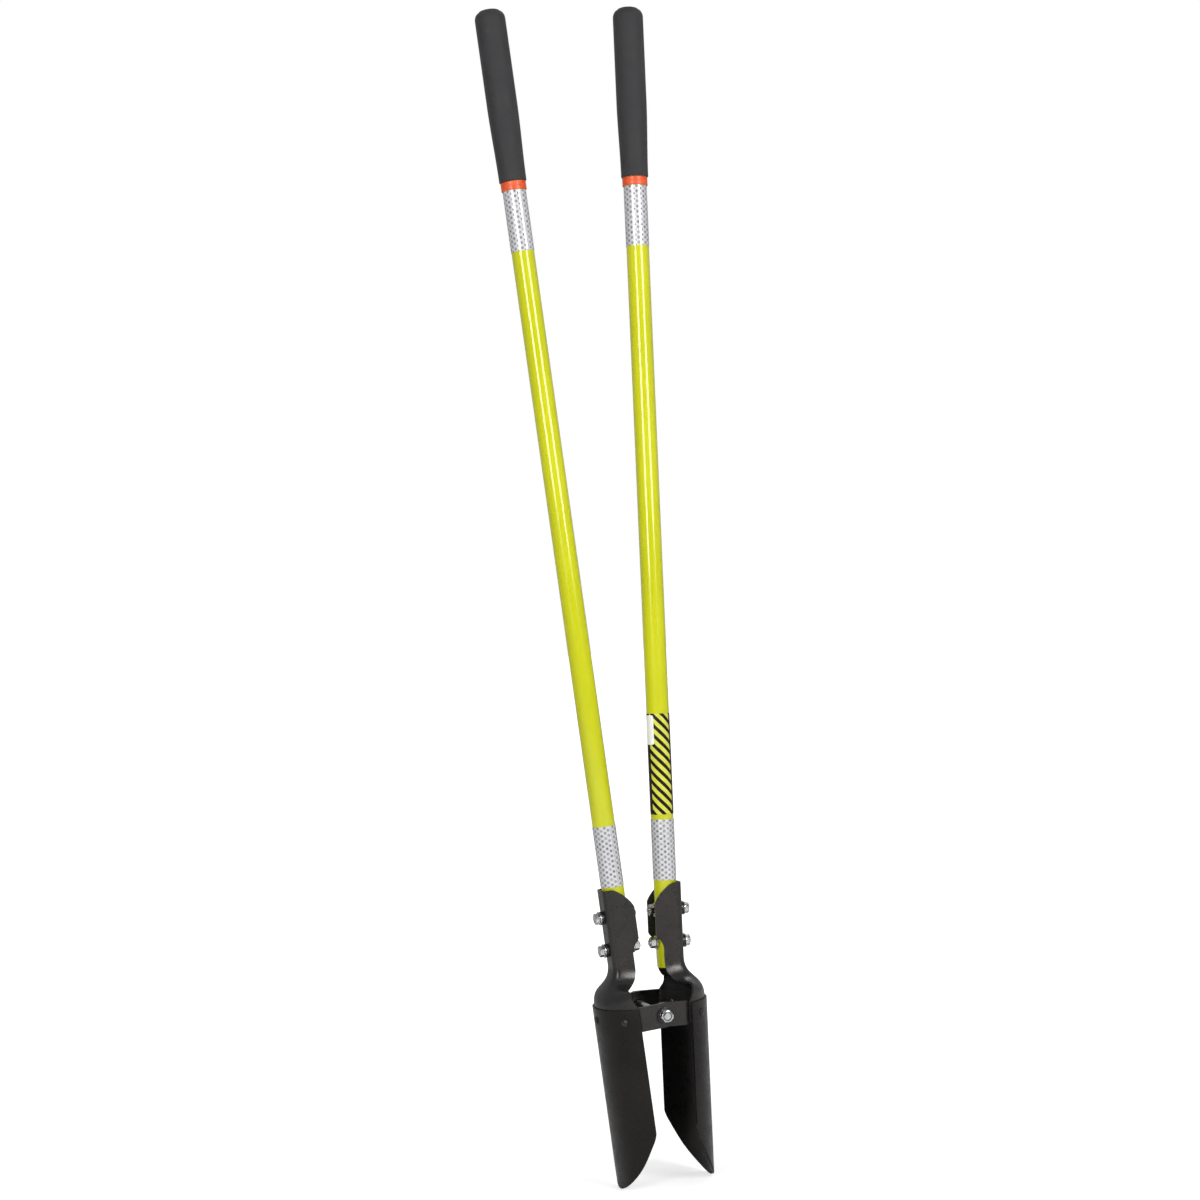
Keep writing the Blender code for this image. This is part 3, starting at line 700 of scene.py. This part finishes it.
def across(section):
    """Each point's place along its section, from -1 at one edge to 1 at the other."""
    lengths = [0.0]
    for a, b in zip(section, section[1:]):
        lengths.append(lengths[-1] + math.dist(a, b))
    return [2 * length / lengths[-1] - 1 for length in lengths]


def on_skirt(angle):
    return ARC_CENTRE + SKIRT_RADIUS * math.cos(angle), SKIRT_RADIUS * math.sin(angle)


def socket_rows():
    rows = []
    crown_foot = CHANNEL_HEAD - CROWN_DROP
    for step in range(19):
        turn = math.pi / 2 * step / 18
        edge = CROWN_START - (CROWN_START - CHEEK_EDGE) * math.sin(turn) ** CROWN_POWER
        height = crown_foot + CROWN_DROP * max(0.0, math.cos(turn)) ** CROWN_POWER
        rows.append([(x, y, height) for x, y in channel_section(edge)])
    for share in (0.25, 0.5, 0.75):
        height = crown_foot + (NOTCH_HEIGHTS[0] - crown_foot) * share
        rows.append([(x, y, height) for x, y in channel_section(CHEEK_EDGE)])
    for step in range(9):
        edge, height = bezier(NOTCH_EDGES, step / 8), bezier(NOTCH_HEIGHTS, step / 8)
        rows.append([(x, y, height) for x, y in channel_section(edge)])
    height = (NOTCH_HEIGHTS[-1] + SHOULDER_MIDDLE[0]) / 2
    rows.append([(x, y, height) for x, y in channel_section(NECK_EDGE)])
    return rows


def shoulder_rows():
    """From the channel's section to the skirt's arc, the edges turning out below the middle."""
    neck = channel_section(NECK_EDGE)
    places = across(neck)
    rows = []
    for step in range(33):
        t = step / 32
        share = smooth(t)
        row = []
        for (x, y), place in zip(neck, places):
            arc_x, arc_y = on_skirt(place * (ARC_HALF_ANGLE - EDGE_RECESS))
            bow = EDGE_BOW * math.sin(math.pi * share) * place**4
            middle = bezier(SHOULDER_MIDDLE, t)
            height = middle + (bezier(SHOULDER_EDGE, t) - middle) * place**2
            row.append((x + (arc_x - x) * share + bow, y + (arc_y - y) * share, height))
        rows.append(row)
    heights = [point[2] for point in rows[-1]]
    for step in range(1, 11):
        share = step / 10
        half_angle = ARC_HALF_ANGLE - EDGE_RECESS * (1 - smooth(min(1, share / 0.35)))
        row = []
        for place, height in zip(places, heights):
            x, y = on_skirt(place * half_angle)
            row.append((x, y, height + (SKIRT_FOOT - height) * share))
        rows.append(row)
    return rows


def pressed(name, rows, thickness, cutters, edge):
    """Sheet metal of even thickness about a middle surface: cut, drilled and its edges eased.
    Its point attribute "worn" is 1 along every edge, for worn paint and a painted highlight there."""
    bm = bmesh.new()
    grid = [[bm.verts.new(point) for point in row] for row in rows]
    for upper, lower in zip(grid, grid[1:]):
        for i in range(len(upper) - 1):
            bm.faces.new((upper[i], upper[i + 1], lower[i + 1], lower[i]))
    bmesh.ops.recalc_face_normals(bm, faces=bm.faces[:])
    work = in_scene(name, written(bm, name))
    sheet = work.modifiers.new("thickness", "SOLIDIFY")
    sheet.thickness = thickness
    sheet.offset = 0
    sheet.use_even_offset = True
    return eased(drilled(settled(work), cutters), edge)


def eased(mesh, edge):
    """The mesh with its sharp edges rounded and marked, for worn paint and a painted highlight."""
    work = in_scene(mesh.name, mesh)
    mesh.shade_smooth()
    bevel = work.modifiers.new("edges", "BEVEL")
    bevel.width = edge
    bevel.segments = 3
    bevel.limit_method = "ANGLE"
    bevel.angle_limit = SHEARED_EDGE
    bevel.use_clamp_overlap = True
    flat = work.modifiers.new("flats", "WEIGHTED_NORMAL")
    flat.keep_sharp = False
    mesh = settled(work)
    bm = bmesh.new()
    bm.from_mesh(mesh)
    bm.verts.ensure_lookup_table()
    worn = [0.0] * len(bm.verts)
    for line in bm.edges:
        if len(line.link_faces) == 2 and line.calc_face_angle() > WORN_EDGE:
            for vert in line.verts:
                worn[vert.index] = 1.0
    bm.free()
    mesh.attributes.new("worn", "FLOAT", "POINT").data.foreach_set("value", worn)
    return mesh


def rivet_drills():
    """Drills through blade, skirt and yoke."""
    drills = []
    for angle in RIVET_ANGLES.values():
        bit = drill(RIVET_RADIUS + 0.3 * MM, SKIRT_RADIUS - 12 * MM, BLADE_RADIUS + 8 * MM)
        bit.transform(out_of_blade(angle))
        drills.append(bit)
    return drills


def out_of_blade(angle):
    """Takes a piece along Z to the line of a rivet, pointing out of the blade."""
    centre = Matrix.Translation((ARC_CENTRE, 0, RIVET_HEIGHT))
    return centre @ Matrix.Rotation(angle, 4, "Z") @ Matrix.Rotation(math.pi / 2, 4, "Y")


def enamel(name, first, last, index=1.5, streaks=False):
    """Dipped black enamel between two tones: an orange peel, dull and glossy patches, rubs, and
    edges that are lighter, partly where the paint is worn thin and partly as a painted highlight.
    The streaks are faint rubs that run down a blade, their warm tone partly a painted reflection.
    The index is refractive."""
    paint = Finish(name, IOR=index, Specular_Tint=(1.0, 0.94, 0.90))
    clouds = paint.noise(14.0, 4.0)
    patches = paint.noise(70.0, 4.0, 0.6)
    fine = paint.noise(900.0, 2.0)
    peel = paint.noise(330.0, 2.0, 0.5)
    tone = paint.mix(paint.ramp(clouds, 0.3, 0.7), first, last)
    rubs = paint.noise(1.0, 5.0, 0.75, paint.stretch((170.0, 170.0, 26.0)), 0.4)
    rubs = paint.ramp(rubs, 0.66, 0.80, 0.0, 0.5)
    tone = paint.mix(rubs, tone, (0.055, 0.053, 0.050))
    if streaks:
        # Warm streaks down a blade: partly faint rubs, partly a painted warm reflection.
        rub_streaks_and_warm_reflection = paint.noise(1.0, 4.0, 0.7, paint.stretch((420.0, 420.0, 10.0)))
        tone = paint.mix(paint.ramp(rub_streaks_and_warm_reflection, 0.62, 0.80, 0.0, 0.5), tone, (0.052, 0.044, 0.037))
    # Lighter enamel along every edge: partly paint worn thin, partly a painted highlight.
    worn = paint.add("Attribute", {"attribute_name": "worn"}).outputs["Fac"]
    chips_and_edge_highlight = paint.math("MULTIPLY", worn, paint.ramp(patches, 0.30, 0.62, 0.35, 1.0))
    thin_paint_and_edge_highlight = paint.ramp(chips_and_edge_highlight, 0.55, 0.95, 0.0, 0.55)
    paint.give(paint.shader, Base_Color=paint.mix(thin_paint_and_edge_highlight, tone, (0.085, 0.078, 0.070)))
    dull = paint.ramp(patches, 0.3, 0.7, 0.24, 0.37)
    dull = paint.math("ADD", dull, paint.math("MULTIPLY", rubs, 0.12))
    paint.give(paint.shader, Roughness=paint.math("SUBTRACT", dull, paint.math("MULTIPLY", thin_paint_and_edge_highlight, 0.16)))
    paint.bumps((0.35, 0.0010, clouds), (0.16, 0.00022, peel), (0.14, 0.00003, fine))
    return paint.material


# The same enamel as the blades', given lighter tones: painted light, for cheeks that catch more light.
black_enamel = enamel("black_enamel", (0.0125, 0.0125, 0.013), (0.0205, 0.020, 0.0195))
for side in HALVES:
    cutters = handle_drills() + rivet_drills()
    pressing = pressed("socket", socket_rows() + shoulder_rows(), SHEET, cutters, 0.55 * MM)
    own = ([f"{side}_socket"], "black_enamel", black_enamel)
    placed(pressing, f"{side}_socket_pressing", side, *own)


# Blades. 2.2 mm sheet rolled to a third of a circle round the socket's skirt, its sides cut
# back in a long curve to a round tip, and riveted on. Painted with the sockets, in the same
# enamel given darker tones: painted shade.

BLADE_HEAD = 13.7 * MM
BLADE_CORNER = -145.3 * MM
BLADE_TIP = -213.5 * MM
CUT_BULGE = 3.2 * MM
CORNER_ROUND = 5.0 * MM


def cut_height(angle):
    """Lower edge of a blade at an angle round its arc."""
    share = (1 - math.cos(angle)) / (1 - math.cos(ARC_HALF_ANGLE))
    height = BLADE_TIP + (BLADE_CORNER - BLADE_TIP) * share
    height -= CUT_BULGE * math.sin(math.pi * share) ** 2
    from_corner = BLADE_RADIUS * (ARC_HALF_ANGLE - abs(angle))
    if from_corner < CORNER_ROUND:
        left = CORNER_ROUND - from_corner
        height += CORNER_ROUND - math.sqrt(CORNER_ROUND**2 - left**2)
    return height


def blade_angles():
    even = [ARC_HALF_ANGLE * (i / 48 - 1) for i in range(97)]
    inset = [CORNER_ROUND * share / BLADE_RADIUS for share in (0.05, 0.2, 0.75)]
    corner = [ARC_HALF_ANGLE - angle for angle in inset]
    return sorted(even + corner + [-angle for angle in corner])


def blade_rows():
    """Close rows across the rivets, then wider ones down to the cut edge."""
    rows = []
    shares = [i / 110 for i in range(14)] + [0.12 + 0.88 * i / 26 for i in range(1, 27)]
    for share in shares:
        row = []
        for angle in blade_angles():
            x = ARC_CENTRE + BLADE_RADIUS * math.cos(angle)
            height = BLADE_HEAD + (cut_height(angle) - BLADE_HEAD) * share
            row.append((x, BLADE_RADIUS * math.sin(angle), height))
        rows.append(row)
    return rows


# The sockets' enamel in darker tones: painted shade on the blades.
blade_enamel_painted_darker = enamel(
    "black_enamel_blade", (0.0075, 0.0068, 0.0068), (0.0145, 0.0130, 0.0125), 1.30, streaks=True
)
for side in HALVES:
    plate = pressed("blade", blade_rows(), BLADE_SHEET, rivet_drills(), 0.45 * MM)
    own = ([f"{side}_blade"], "black_enamel", blade_enamel_painted_darker)
    placed(plate, f"{side}_blade_plate", side, *own)


# Yokes. A 30 mm flat bar bent to the inside of each skirt, with a round-ended ear at each end.
# The ears stand in two planes, so that those of the two halves lap on the pivot bolt.

BAR = 4.5 * MM
BAR_HALF_HEIGHT = 15.0 * MM
YOKE_RADIUS = SKIRT_RADIUS - SHEET / 2 - 0.3 * MM - BAR / 2
INNER_EAR = 52.0 * MM
OUTER_EAR = INNER_EAR + BAR + 0.4 * MM
YOKE_BEND = 8.0 * MM
PIVOT_RADIUS = 3 / 16 * 0.0254
PIVOT_HOLE = PIVOT_RADIUS + 0.3 * MM


def ear_line(plane):
    """One end of a yoke as (x, distance from the middle plane, half height) points, from the
    ear's round end to where its bend meets the arc, and the arc's angle there."""
    bend_centre_y = plane - YOKE_BEND
    reach = YOKE_RADIUS - YOKE_BEND
    meets = math.asin(bend_centre_y / reach)
    bend_centre_x = ARC_CENTRE + reach * math.cos(meets)
    points = []
    for step in range(1, 15):
        turn = math.pi / 2 * (1 - (step / 14) ** 1.5)
        half = BAR_HALF_HEIGHT * math.cos(turn)
        points.append((-BAR_HALF_HEIGHT * math.sin(turn), plane, half))
    for step in range(1, 7):
        points.append((bend_centre_x * step / 6, plane, BAR_HALF_HEIGHT))
    for step in range(1, 8):
        turn = math.pi / 2 + (meets - math.pi / 2) * step / 8
        x = bend_centre_x + YOKE_BEND * math.cos(turn)
        points.append((x, bend_centre_y + YOKE_BEND * math.sin(turn), BAR_HALF_HEIGHT))
    return points, meets


def yoke_rows():
    front, front_meets = ear_line(INNER_EAR)
    back, back_meets = ear_line(OUTER_EAR)
    path = [(x, -y, half) for x, y, half in front]
    for step in range(49):
        angle = -front_meets + (front_meets + back_meets) * step / 48
        x = ARC_CENTRE + YOKE_RADIUS * math.cos(angle)
        path.append((x, YOKE_RADIUS * math.sin(angle), BAR_HALF_HEIGHT))
    path += reversed(back)
    levels = [1 - i / 6 for i in range(13)]
    return [[(x, y, level * half) for x, y, half in path] for level in levels]


for side in HALVES:
    reach = OUTER_EAR + 10 * MM
    pivot_drill = drill(PIVOT_HOLE, -reach, reach, 48)
    pivot_drill.transform(Matrix.Rotation(-math.pi / 2, 4, "X"))
    bar = pressed("yoke", yoke_rows(), BAR, [pivot_drill] + rivet_drills(), 0.6 * MM)
    own = ([f"{side}_yoke"], "black_enamel", black_enamel)
    placed(bar, f"{side}_yoke_bar", side, *own)


# Rivets. Round-headed steel rivets, closed hot through blade, skirt and yoke, three to a blade,
# and painted over with the rest.

RIVET_HEAD_RADIUS = 4.75 * MM
RIVET_HEAD = 2.2 * MM


def rivet():
    inner = YOKE_RADIUS - BAR / 2 - 0.3 * MM
    outer = BLADE_RADIUS + BLADE_SHEET / 2 + 0.3 * MM
    outline = []
    for step in range(9):
        turn = math.pi / 2 * step / 8
        outline.append((RIVET_HEAD_RADIUS * math.sin(turn), inner - RIVET_HEAD * math.cos(turn)))
    outline += [(RIVET_RADIUS, inner), (RIVET_RADIUS, outer)]
    for step in range(9):
        turn = math.pi / 2 * (1 - step / 8)
        outline.append((RIVET_HEAD_RADIUS * math.sin(turn), outer + RIVET_HEAD * math.cos(turn)))
    outline[0] = (0, inner - RIVET_HEAD)
    outline[-1] = (0, outer + RIVET_HEAD)
    return turned("rivet", outline, 40)


for side in HALVES:
    for end, angle in RIVET_ANGLES.items():
        # Seen from the tool's front, the left half's front rivet is its own frame's back one.
        node = end if side == "right" else {"front": "back", "back": "front"}.get(end, end)
        own = ([f"{side}_{node}_rivet"], "black_enamel", black_enamel, out_of_blade(angle))
        placed(rivet(), f"{side}_{node}_round_rivet", side, *own)


# Handle bolts. 5/16 in hex bolts with washers and nuts, zinc plated and bright, two through
# each socket and handle: the heads outside, each on a thick black spacer, the nuts inside.

BOLT_FLATS = 0.5 * 0.0254
BOLT_PITCH = 25.4 / 18 * MM
BOLT_THREAD_END = handle_offset - handle_radius + 6 * MM
HEAD_GAP = 0.3 * MM  # between a head and its washer
HEX_LEAN = math.tan(math.radians(30))  # of the chamfer on a head or nut
HEX_COUNT = 72  # points round a hexagon, a multiple of 6


def hex_radius(flats, step):
    """Distance from a hexagon's centre to its side, at a step round it."""
    turn = (2 * math.pi * step / HEX_COUNT) % (math.pi / 3) - math.pi / 6
    return flats / 2 / math.cos(turn)


def hex_ring(flats, height, lean=0.0, share=1.0):
    """A ring round a hexagon. With a lean, its corners drop away as a chamfer's cone does."""
    ring = []
    for step in range(HEX_COUNT):
        turn = 2 * math.pi * step / HEX_COUNT
        radius = hex_radius(flats, step) * share
        drop = max(0.0, radius - 0.475 * flats) * lean
        ring.append((radius * math.cos(turn), radius * math.sin(turn), height - drop))
    return ring


def thread_rings(radius, pitch, start, end, fade=1.0):
    """Rings along Z with a screw thread cut in them, dying away over the first turns."""
    rings = []
    count = max(2, round((end - start) / (pitch / 6)))
    depth = 0.55 * pitch
    for step in range(count + 1):
        height = start + (end - start) * step / count
        near = min(height - start, end - height) / (fade * pitch)
        cut = depth * min(1.0, max(0.0, near))
        ring = []
        for i in range(HEX_COUNT):
            turn = 2 * math.pi * i / HEX_COUNT
            phase = abs((height / pitch - turn / (2 * math.pi)) % 1.0 * 2 - 1)
            reach = radius - cut * phase
            ring.append((reach * math.cos(turn), reach * math.sin(turn), height))
        rings.append(ring)
    return rings


def hex_bolt(radius, pitch, flats, head, seat, tail, thread_end):
    """A hex bolt along Z, its head standing on the seat and its thread running to the tail."""
    chamfer = 0.8 * MM
    rings = [[(0, 0, tail)], circle(radius - chamfer, tail, HEX_COUNT)]
    rings += thread_rings(radius, pitch, tail + chamfer, thread_end)
    rings.append(circle(radius, seat, HEX_COUNT))
    rings.append(circle(flats * 0.47, seat, HEX_COUNT))
    rings.append(circle(flats * 0.47, seat + 0.3 * MM, HEX_COUNT))
    rings.append(hex_ring(flats, seat + 0.35 * MM))
    rings.append(hex_ring(flats, seat + head - 0.12 * MM, HEX_LEAN))
    rings.append(hex_ring(flats, seat + head - 0.02 * MM, HEX_LEAN, 0.985))
    rings.append(circle(flats * 0.455, seat + head, HEX_COUNT))
    rings.append(circle(flats * 0.30, seat + head, HEX_COUNT))
    rings.append(circle(flats * 0.27, seat + head - 0.15 * MM, HEX_COUNT))
    rings.append([(0, 0, seat + head - 0.15 * MM)])
    return skinned("bolt", rings)


def hex_nut(radius, pitch, flats, start, end):
    """A hex nut along Z, chamfered at both faces and tapped."""
    bore = radius + 0.1 * MM
    outer = [hex_ring(flats, end - 0.05 * MM, HEX_LEAN, 0.99)]
    outer.append(hex_ring(flats, end - 0.2 * MM, HEX_LEAN))
    below = [[(x, y, start + end - z) for x, y, z in ring] for ring in reversed(outer)]
    inner = thread_rings(bore + 0.5 * pitch, pitch, start + 0.7 * MM, end - 0.7 * MM, 0.5)
    rings = [circle(bore + 0.7 * MM, start, HEX_COUNT), circle(flats * 0.46, start, HEX_COUNT)]
    rings += below + outer
    rings += [circle(flats * 0.46, end, HEX_COUNT), circle(bore + 0.7 * MM, end, HEX_COUNT)]
    return skinned("nut", rings + list(reversed(inner)), looped=True)


def flat_washer(hole, radius, start, end):
    corners = [(hole, start, 0.15 * MM), (radius, start, 0.45 * MM)]
    corners += [(radius, end, 0.3 * MM), (hole, end, 0.3 * MM)]
    return turned("washer", softened(corners, 0.3 * MM), 64)


def zinc():
    """Bright zinc plate: a bluish metal with a fine grain, dull spots and soft tool marks."""
    plate = Finish("bright_zinc_plate", Metallic=1.0)
    clouds = plate.noise(420.0, 4.0)
    grain = plate.noise(2600.0, 3.0, 0.7)
    tone = plate.mix(plate.ramp(clouds, 0.3, 0.7), (0.50, 0.52, 0.54), (0.76, 0.76, 0.75))
    spots = plate.ramp(plate.noise(1100.0, 3.0), 0.66, 0.76, 0.0, 0.5)
    plate.give(plate.shader, Base_Color=plate.mix(spots, tone, (0.30, 0.28, 0.25)))
    plate.give(plate.shader, Roughness=plate.ramp(clouds, 0.3, 0.7, 0.12, 0.26))
    plate.bumps((0.35, 0.00015, clouds), (0.3, 0.00004, grain))
    return plate.material


zinc_plate = zinc()
for side in HALVES:
    for level, height in zip(LEVELS, bolt_heights):
        stem = f"{side}_{level}"
        spans = {}
        for kind in ("handle_bolt", "handle_nut", "head_washer", "nut_washer", "head_spacer"):
            lowest, highest = upright_box(f"{stem}_{kind}", side)
            spans[kind] = (lowest.x, highest.x, highest.y)
        tail, crown = spans["handle_bolt"][:2]
        seat = spans["head_washer"][1] + HEAD_GAP
        made = (BOLT_RADIUS, BOLT_PITCH, BOLT_FLATS)
        meshes = {"handle_bolt": hex_bolt(*made, crown - seat, seat, tail, BOLT_THREAD_END)}
        meshes["handle_nut"] = hex_nut(*made, *spans["handle_nut"][:2])
        for kind in ("head_washer", "nut_washer", "head_spacer"):
            start, end, radius = spans[kind]
            meshes[kind] = flat_washer(BOLT_RADIUS + BOLT_PLAY, radius, start, end)
        along = Matrix.Translation((0, 0, height)) @ Matrix.Rotation(math.pi / 2, 4, "Y")
        for kind, mesh in meshes.items():
            name, finish = f"{stem}_zinc_{kind}", ("zinc_plate", zinc_plate)
            if kind == "head_spacer":
                name, finish = f"{stem}_black_spacer", ("black_enamel", black_enamel)
            placed(mesh, name, side, [f"{stem}_{kind}"], *finish, along)


# Pivot. One long 3/8 in zinc bolt through all four ears, its head at the back and its nut at
# the front. The back washer is zinc and the front one black enamel, dark round the nut.

PIVOT_FLATS = 9 / 16 * 0.0254
PIVOT_PITCH = 25.4 / 16 * MM
along_pivot = Matrix.Rotation(-math.pi / 2, 4, "X")


def pivot_span(node):
    """Where a piece starts and ends along the pivot, in the left half's frame, and its radius."""
    lowest, highest = upright_box(node, "left")
    return lowest.y, highest.y, highest.x


bolt_start, bolt_end = pivot_span("pivot_bolt")[:2]
nut_start, nut_end = pivot_span("pivot_nut")[:2]
washers = {}
for end in ("front", "back"):
    start, stop, radius = pivot_span(f"{end}_pivot_washer")
    washers[end] = (start, stop)
    made = flat_washer(PIVOT_HOLE, radius, start, stop)
    finish = ("black_enamel", black_enamel) if end == "front" else ("zinc_plate", zinc_plate)
    own = ([f"{end}_pivot_washer"], *finish, along_pivot)
    placed(made, f"{end}_pivot_flat_washer", "left", *own)
seat = -washers["back"][0] + HEAD_GAP
head = -bolt_start - seat
thread_end = -washers["front"][0] + 12 * MM
bolt = hex_bolt(PIVOT_RADIUS, PIVOT_PITCH, PIVOT_FLATS, head, seat, -bolt_end, thread_end)
turned_over = along_pivot @ Matrix.Rotation(math.pi, 4, "X")
own = (["pivot_bolt"], "zinc_plate", zinc_plate, turned_over)
placed(bolt, "pivot_hex_bolt", "left", *own)
nut = hex_nut(PIVOT_RADIUS, PIVOT_PITCH, PIVOT_FLATS, nut_start, nut_end)
own = (["pivot_nut"], "zinc_plate", zinc_plate, along_pivot)
placed(nut, "pivot_hex_nut", "left", *own)


# Studio. A white paper sweep under soft light: two tall softboxes in front, a panel above them
# and one high at the back, and a bright tent all round that is darker where the camera stands.
# The paper also glows to the camera, less near the tool: painted light, with painted shade
# round the tool.

VIEW_TURN = math.radians(17.0)  # of the camera round the tool, towards its left
VIEW_ROLL = math.radians(5.23)
VIEW_DISTANCE = 3.0
VIEW_HEIGHT = pivot_height + 0.5177
VIEW_SHIFT = -0.016
VIEW_LENS = 71.55
sideways = Vector((math.cos(VIEW_TURN), -math.sin(VIEW_TURN), 0))
forward = Vector((math.sin(VIEW_TURN), math.cos(VIEW_TURN), 0))
upward = Vector((0, 0, 1))

camera = bpy.data.cameras.new("camera")
camera.lens = VIEW_LENS
camera.clip_end = 100
camera_stand = in_scene("camera", camera)
right = sideways * math.cos(VIEW_ROLL) - upward * math.sin(VIEW_ROLL)
top = sideways * math.sin(VIEW_ROLL) + upward * math.cos(VIEW_ROLL)
stand = -forward * VIEW_DISTANCE + sideways * VIEW_SHIFT + upward * VIEW_HEIGHT
axes = Matrix((right, top, -forward)).transposed().to_4x4()
camera_stand.matrix_world = Matrix.Translation(stand) @ axes
bpy.context.scene.camera = camera_stand


def softbox(name, bearing, height, width, tall, power, distance=3.0):
    """A panel of light facing the tool, at a bearing round it from the camera, to the right."""
    lamp = bpy.data.lights.new(name, "AREA")
    lamp.shape = "RECTANGLE"
    lamp.size = width
    lamp.size_y = tall
    lamp.energy = power
    box = in_scene(name, lamp)
    turn = math.radians(bearing)
    away = sideways * math.sin(turn) - forward * math.cos(turn)
    box.location = away * distance + upward * height
    facing = upward * pivot_height * 3 - box.location
    facing.z *= 0.35
    box.rotation_euler = facing.to_track_quat("-Z", "Y").to_euler()
    return box


softbox("left_softbox", -24, 1.60, 0.60, 1.5, 47)
softbox("right_softbox", 39, 1.60, 0.60, 1.5, 50)
softbox("top_panel", 8, 3.1, 2.2, 1.2, 8)
softbox("back_panel", 172, 3.1, 2.2, 1.2, 28)

world = bpy.data.worlds.new("tent")
bpy.context.scene.world = world
world.use_nodes = True
tent = world.node_tree
tent.nodes.clear()
direction = tent.nodes.new("ShaderNodeTexCoord")
facing = tent.nodes.new("ShaderNodeVectorMath")
facing.operation = "DOT_PRODUCT"
facing.inputs[1].default_value = -forward
tent.links.new(direction.outputs["Generated"], facing.inputs[0])
shade = tent.nodes.new("ShaderNodeMapRange")
shade.interpolation_type = "SMOOTHSTEP"
for i, limit in enumerate((0.15, 0.80, 0.33, 0.06), start=1):
    shade.inputs[i].default_value = limit
tent.links.new(facing.outputs["Value"], shade.inputs["Value"])
seen = tent.nodes.new("ShaderNodeLightPath")
strength = tent.nodes.new("ShaderNodeMix")
tent.links.new(seen.outputs["Is Camera Ray"], strength.inputs[0])
tent.links.new(shade.outputs["Result"], strength.inputs[2])
strength.inputs[3].default_value = 1.0
glow = tent.nodes.new("ShaderNodeBackground")
glow.inputs["Color"].default_value = (1.0, 1.0, 1.0, 1.0)
tent.links.new(strength.outputs[0], glow.inputs["Strength"])
out = tent.nodes.new("ShaderNodeOutputWorld")
tent.links.new(glow.outputs[0], out.inputs["Surface"])

FLOOR_RADIUS = 30.0
paper = Finish("white_paper_sweep", Emission_Color=(1.0, 1.0, 1.0))
# Painted light: the paper glows to the camera alone, and less near the tool, which paints shade round
# it.
seen = paper.add("LightPath").outputs["Is Camera Ray"]
reach = paper.add("VectorMath", {"operation": "LENGTH"})
paper.join(reach.inputs[0], paper.where)
painted_glow = paper.ramp(reach.outputs["Value"], 0.1, 2.2, 0.55, 1.0)
paper.give(paper.shader, Emission_Strength=paper.math("MULTIPLY", painted_glow, seen))
fibres = paper.noise(3.0, 4.0)
paper.give(paper.shader, Base_Color=paper.mix(fibres, (0.84, 0.84, 0.84), (0.88, 0.88, 0.88)))
paper.give(paper.shader, Roughness=paper.ramp(fibres, 0.3, 0.7, 0.75, 0.9))
sweep = skinned("floor", [circle(FLOOR_RADIUS, 0, 96), [(0, 0, 0)]])
floor = in_scene("floor", sweep)
floor.data.materials.append(paper.material)
floor.location.z = -0.2 * MM
bpy.context.scene.view_settings.view_transform = "Standard"
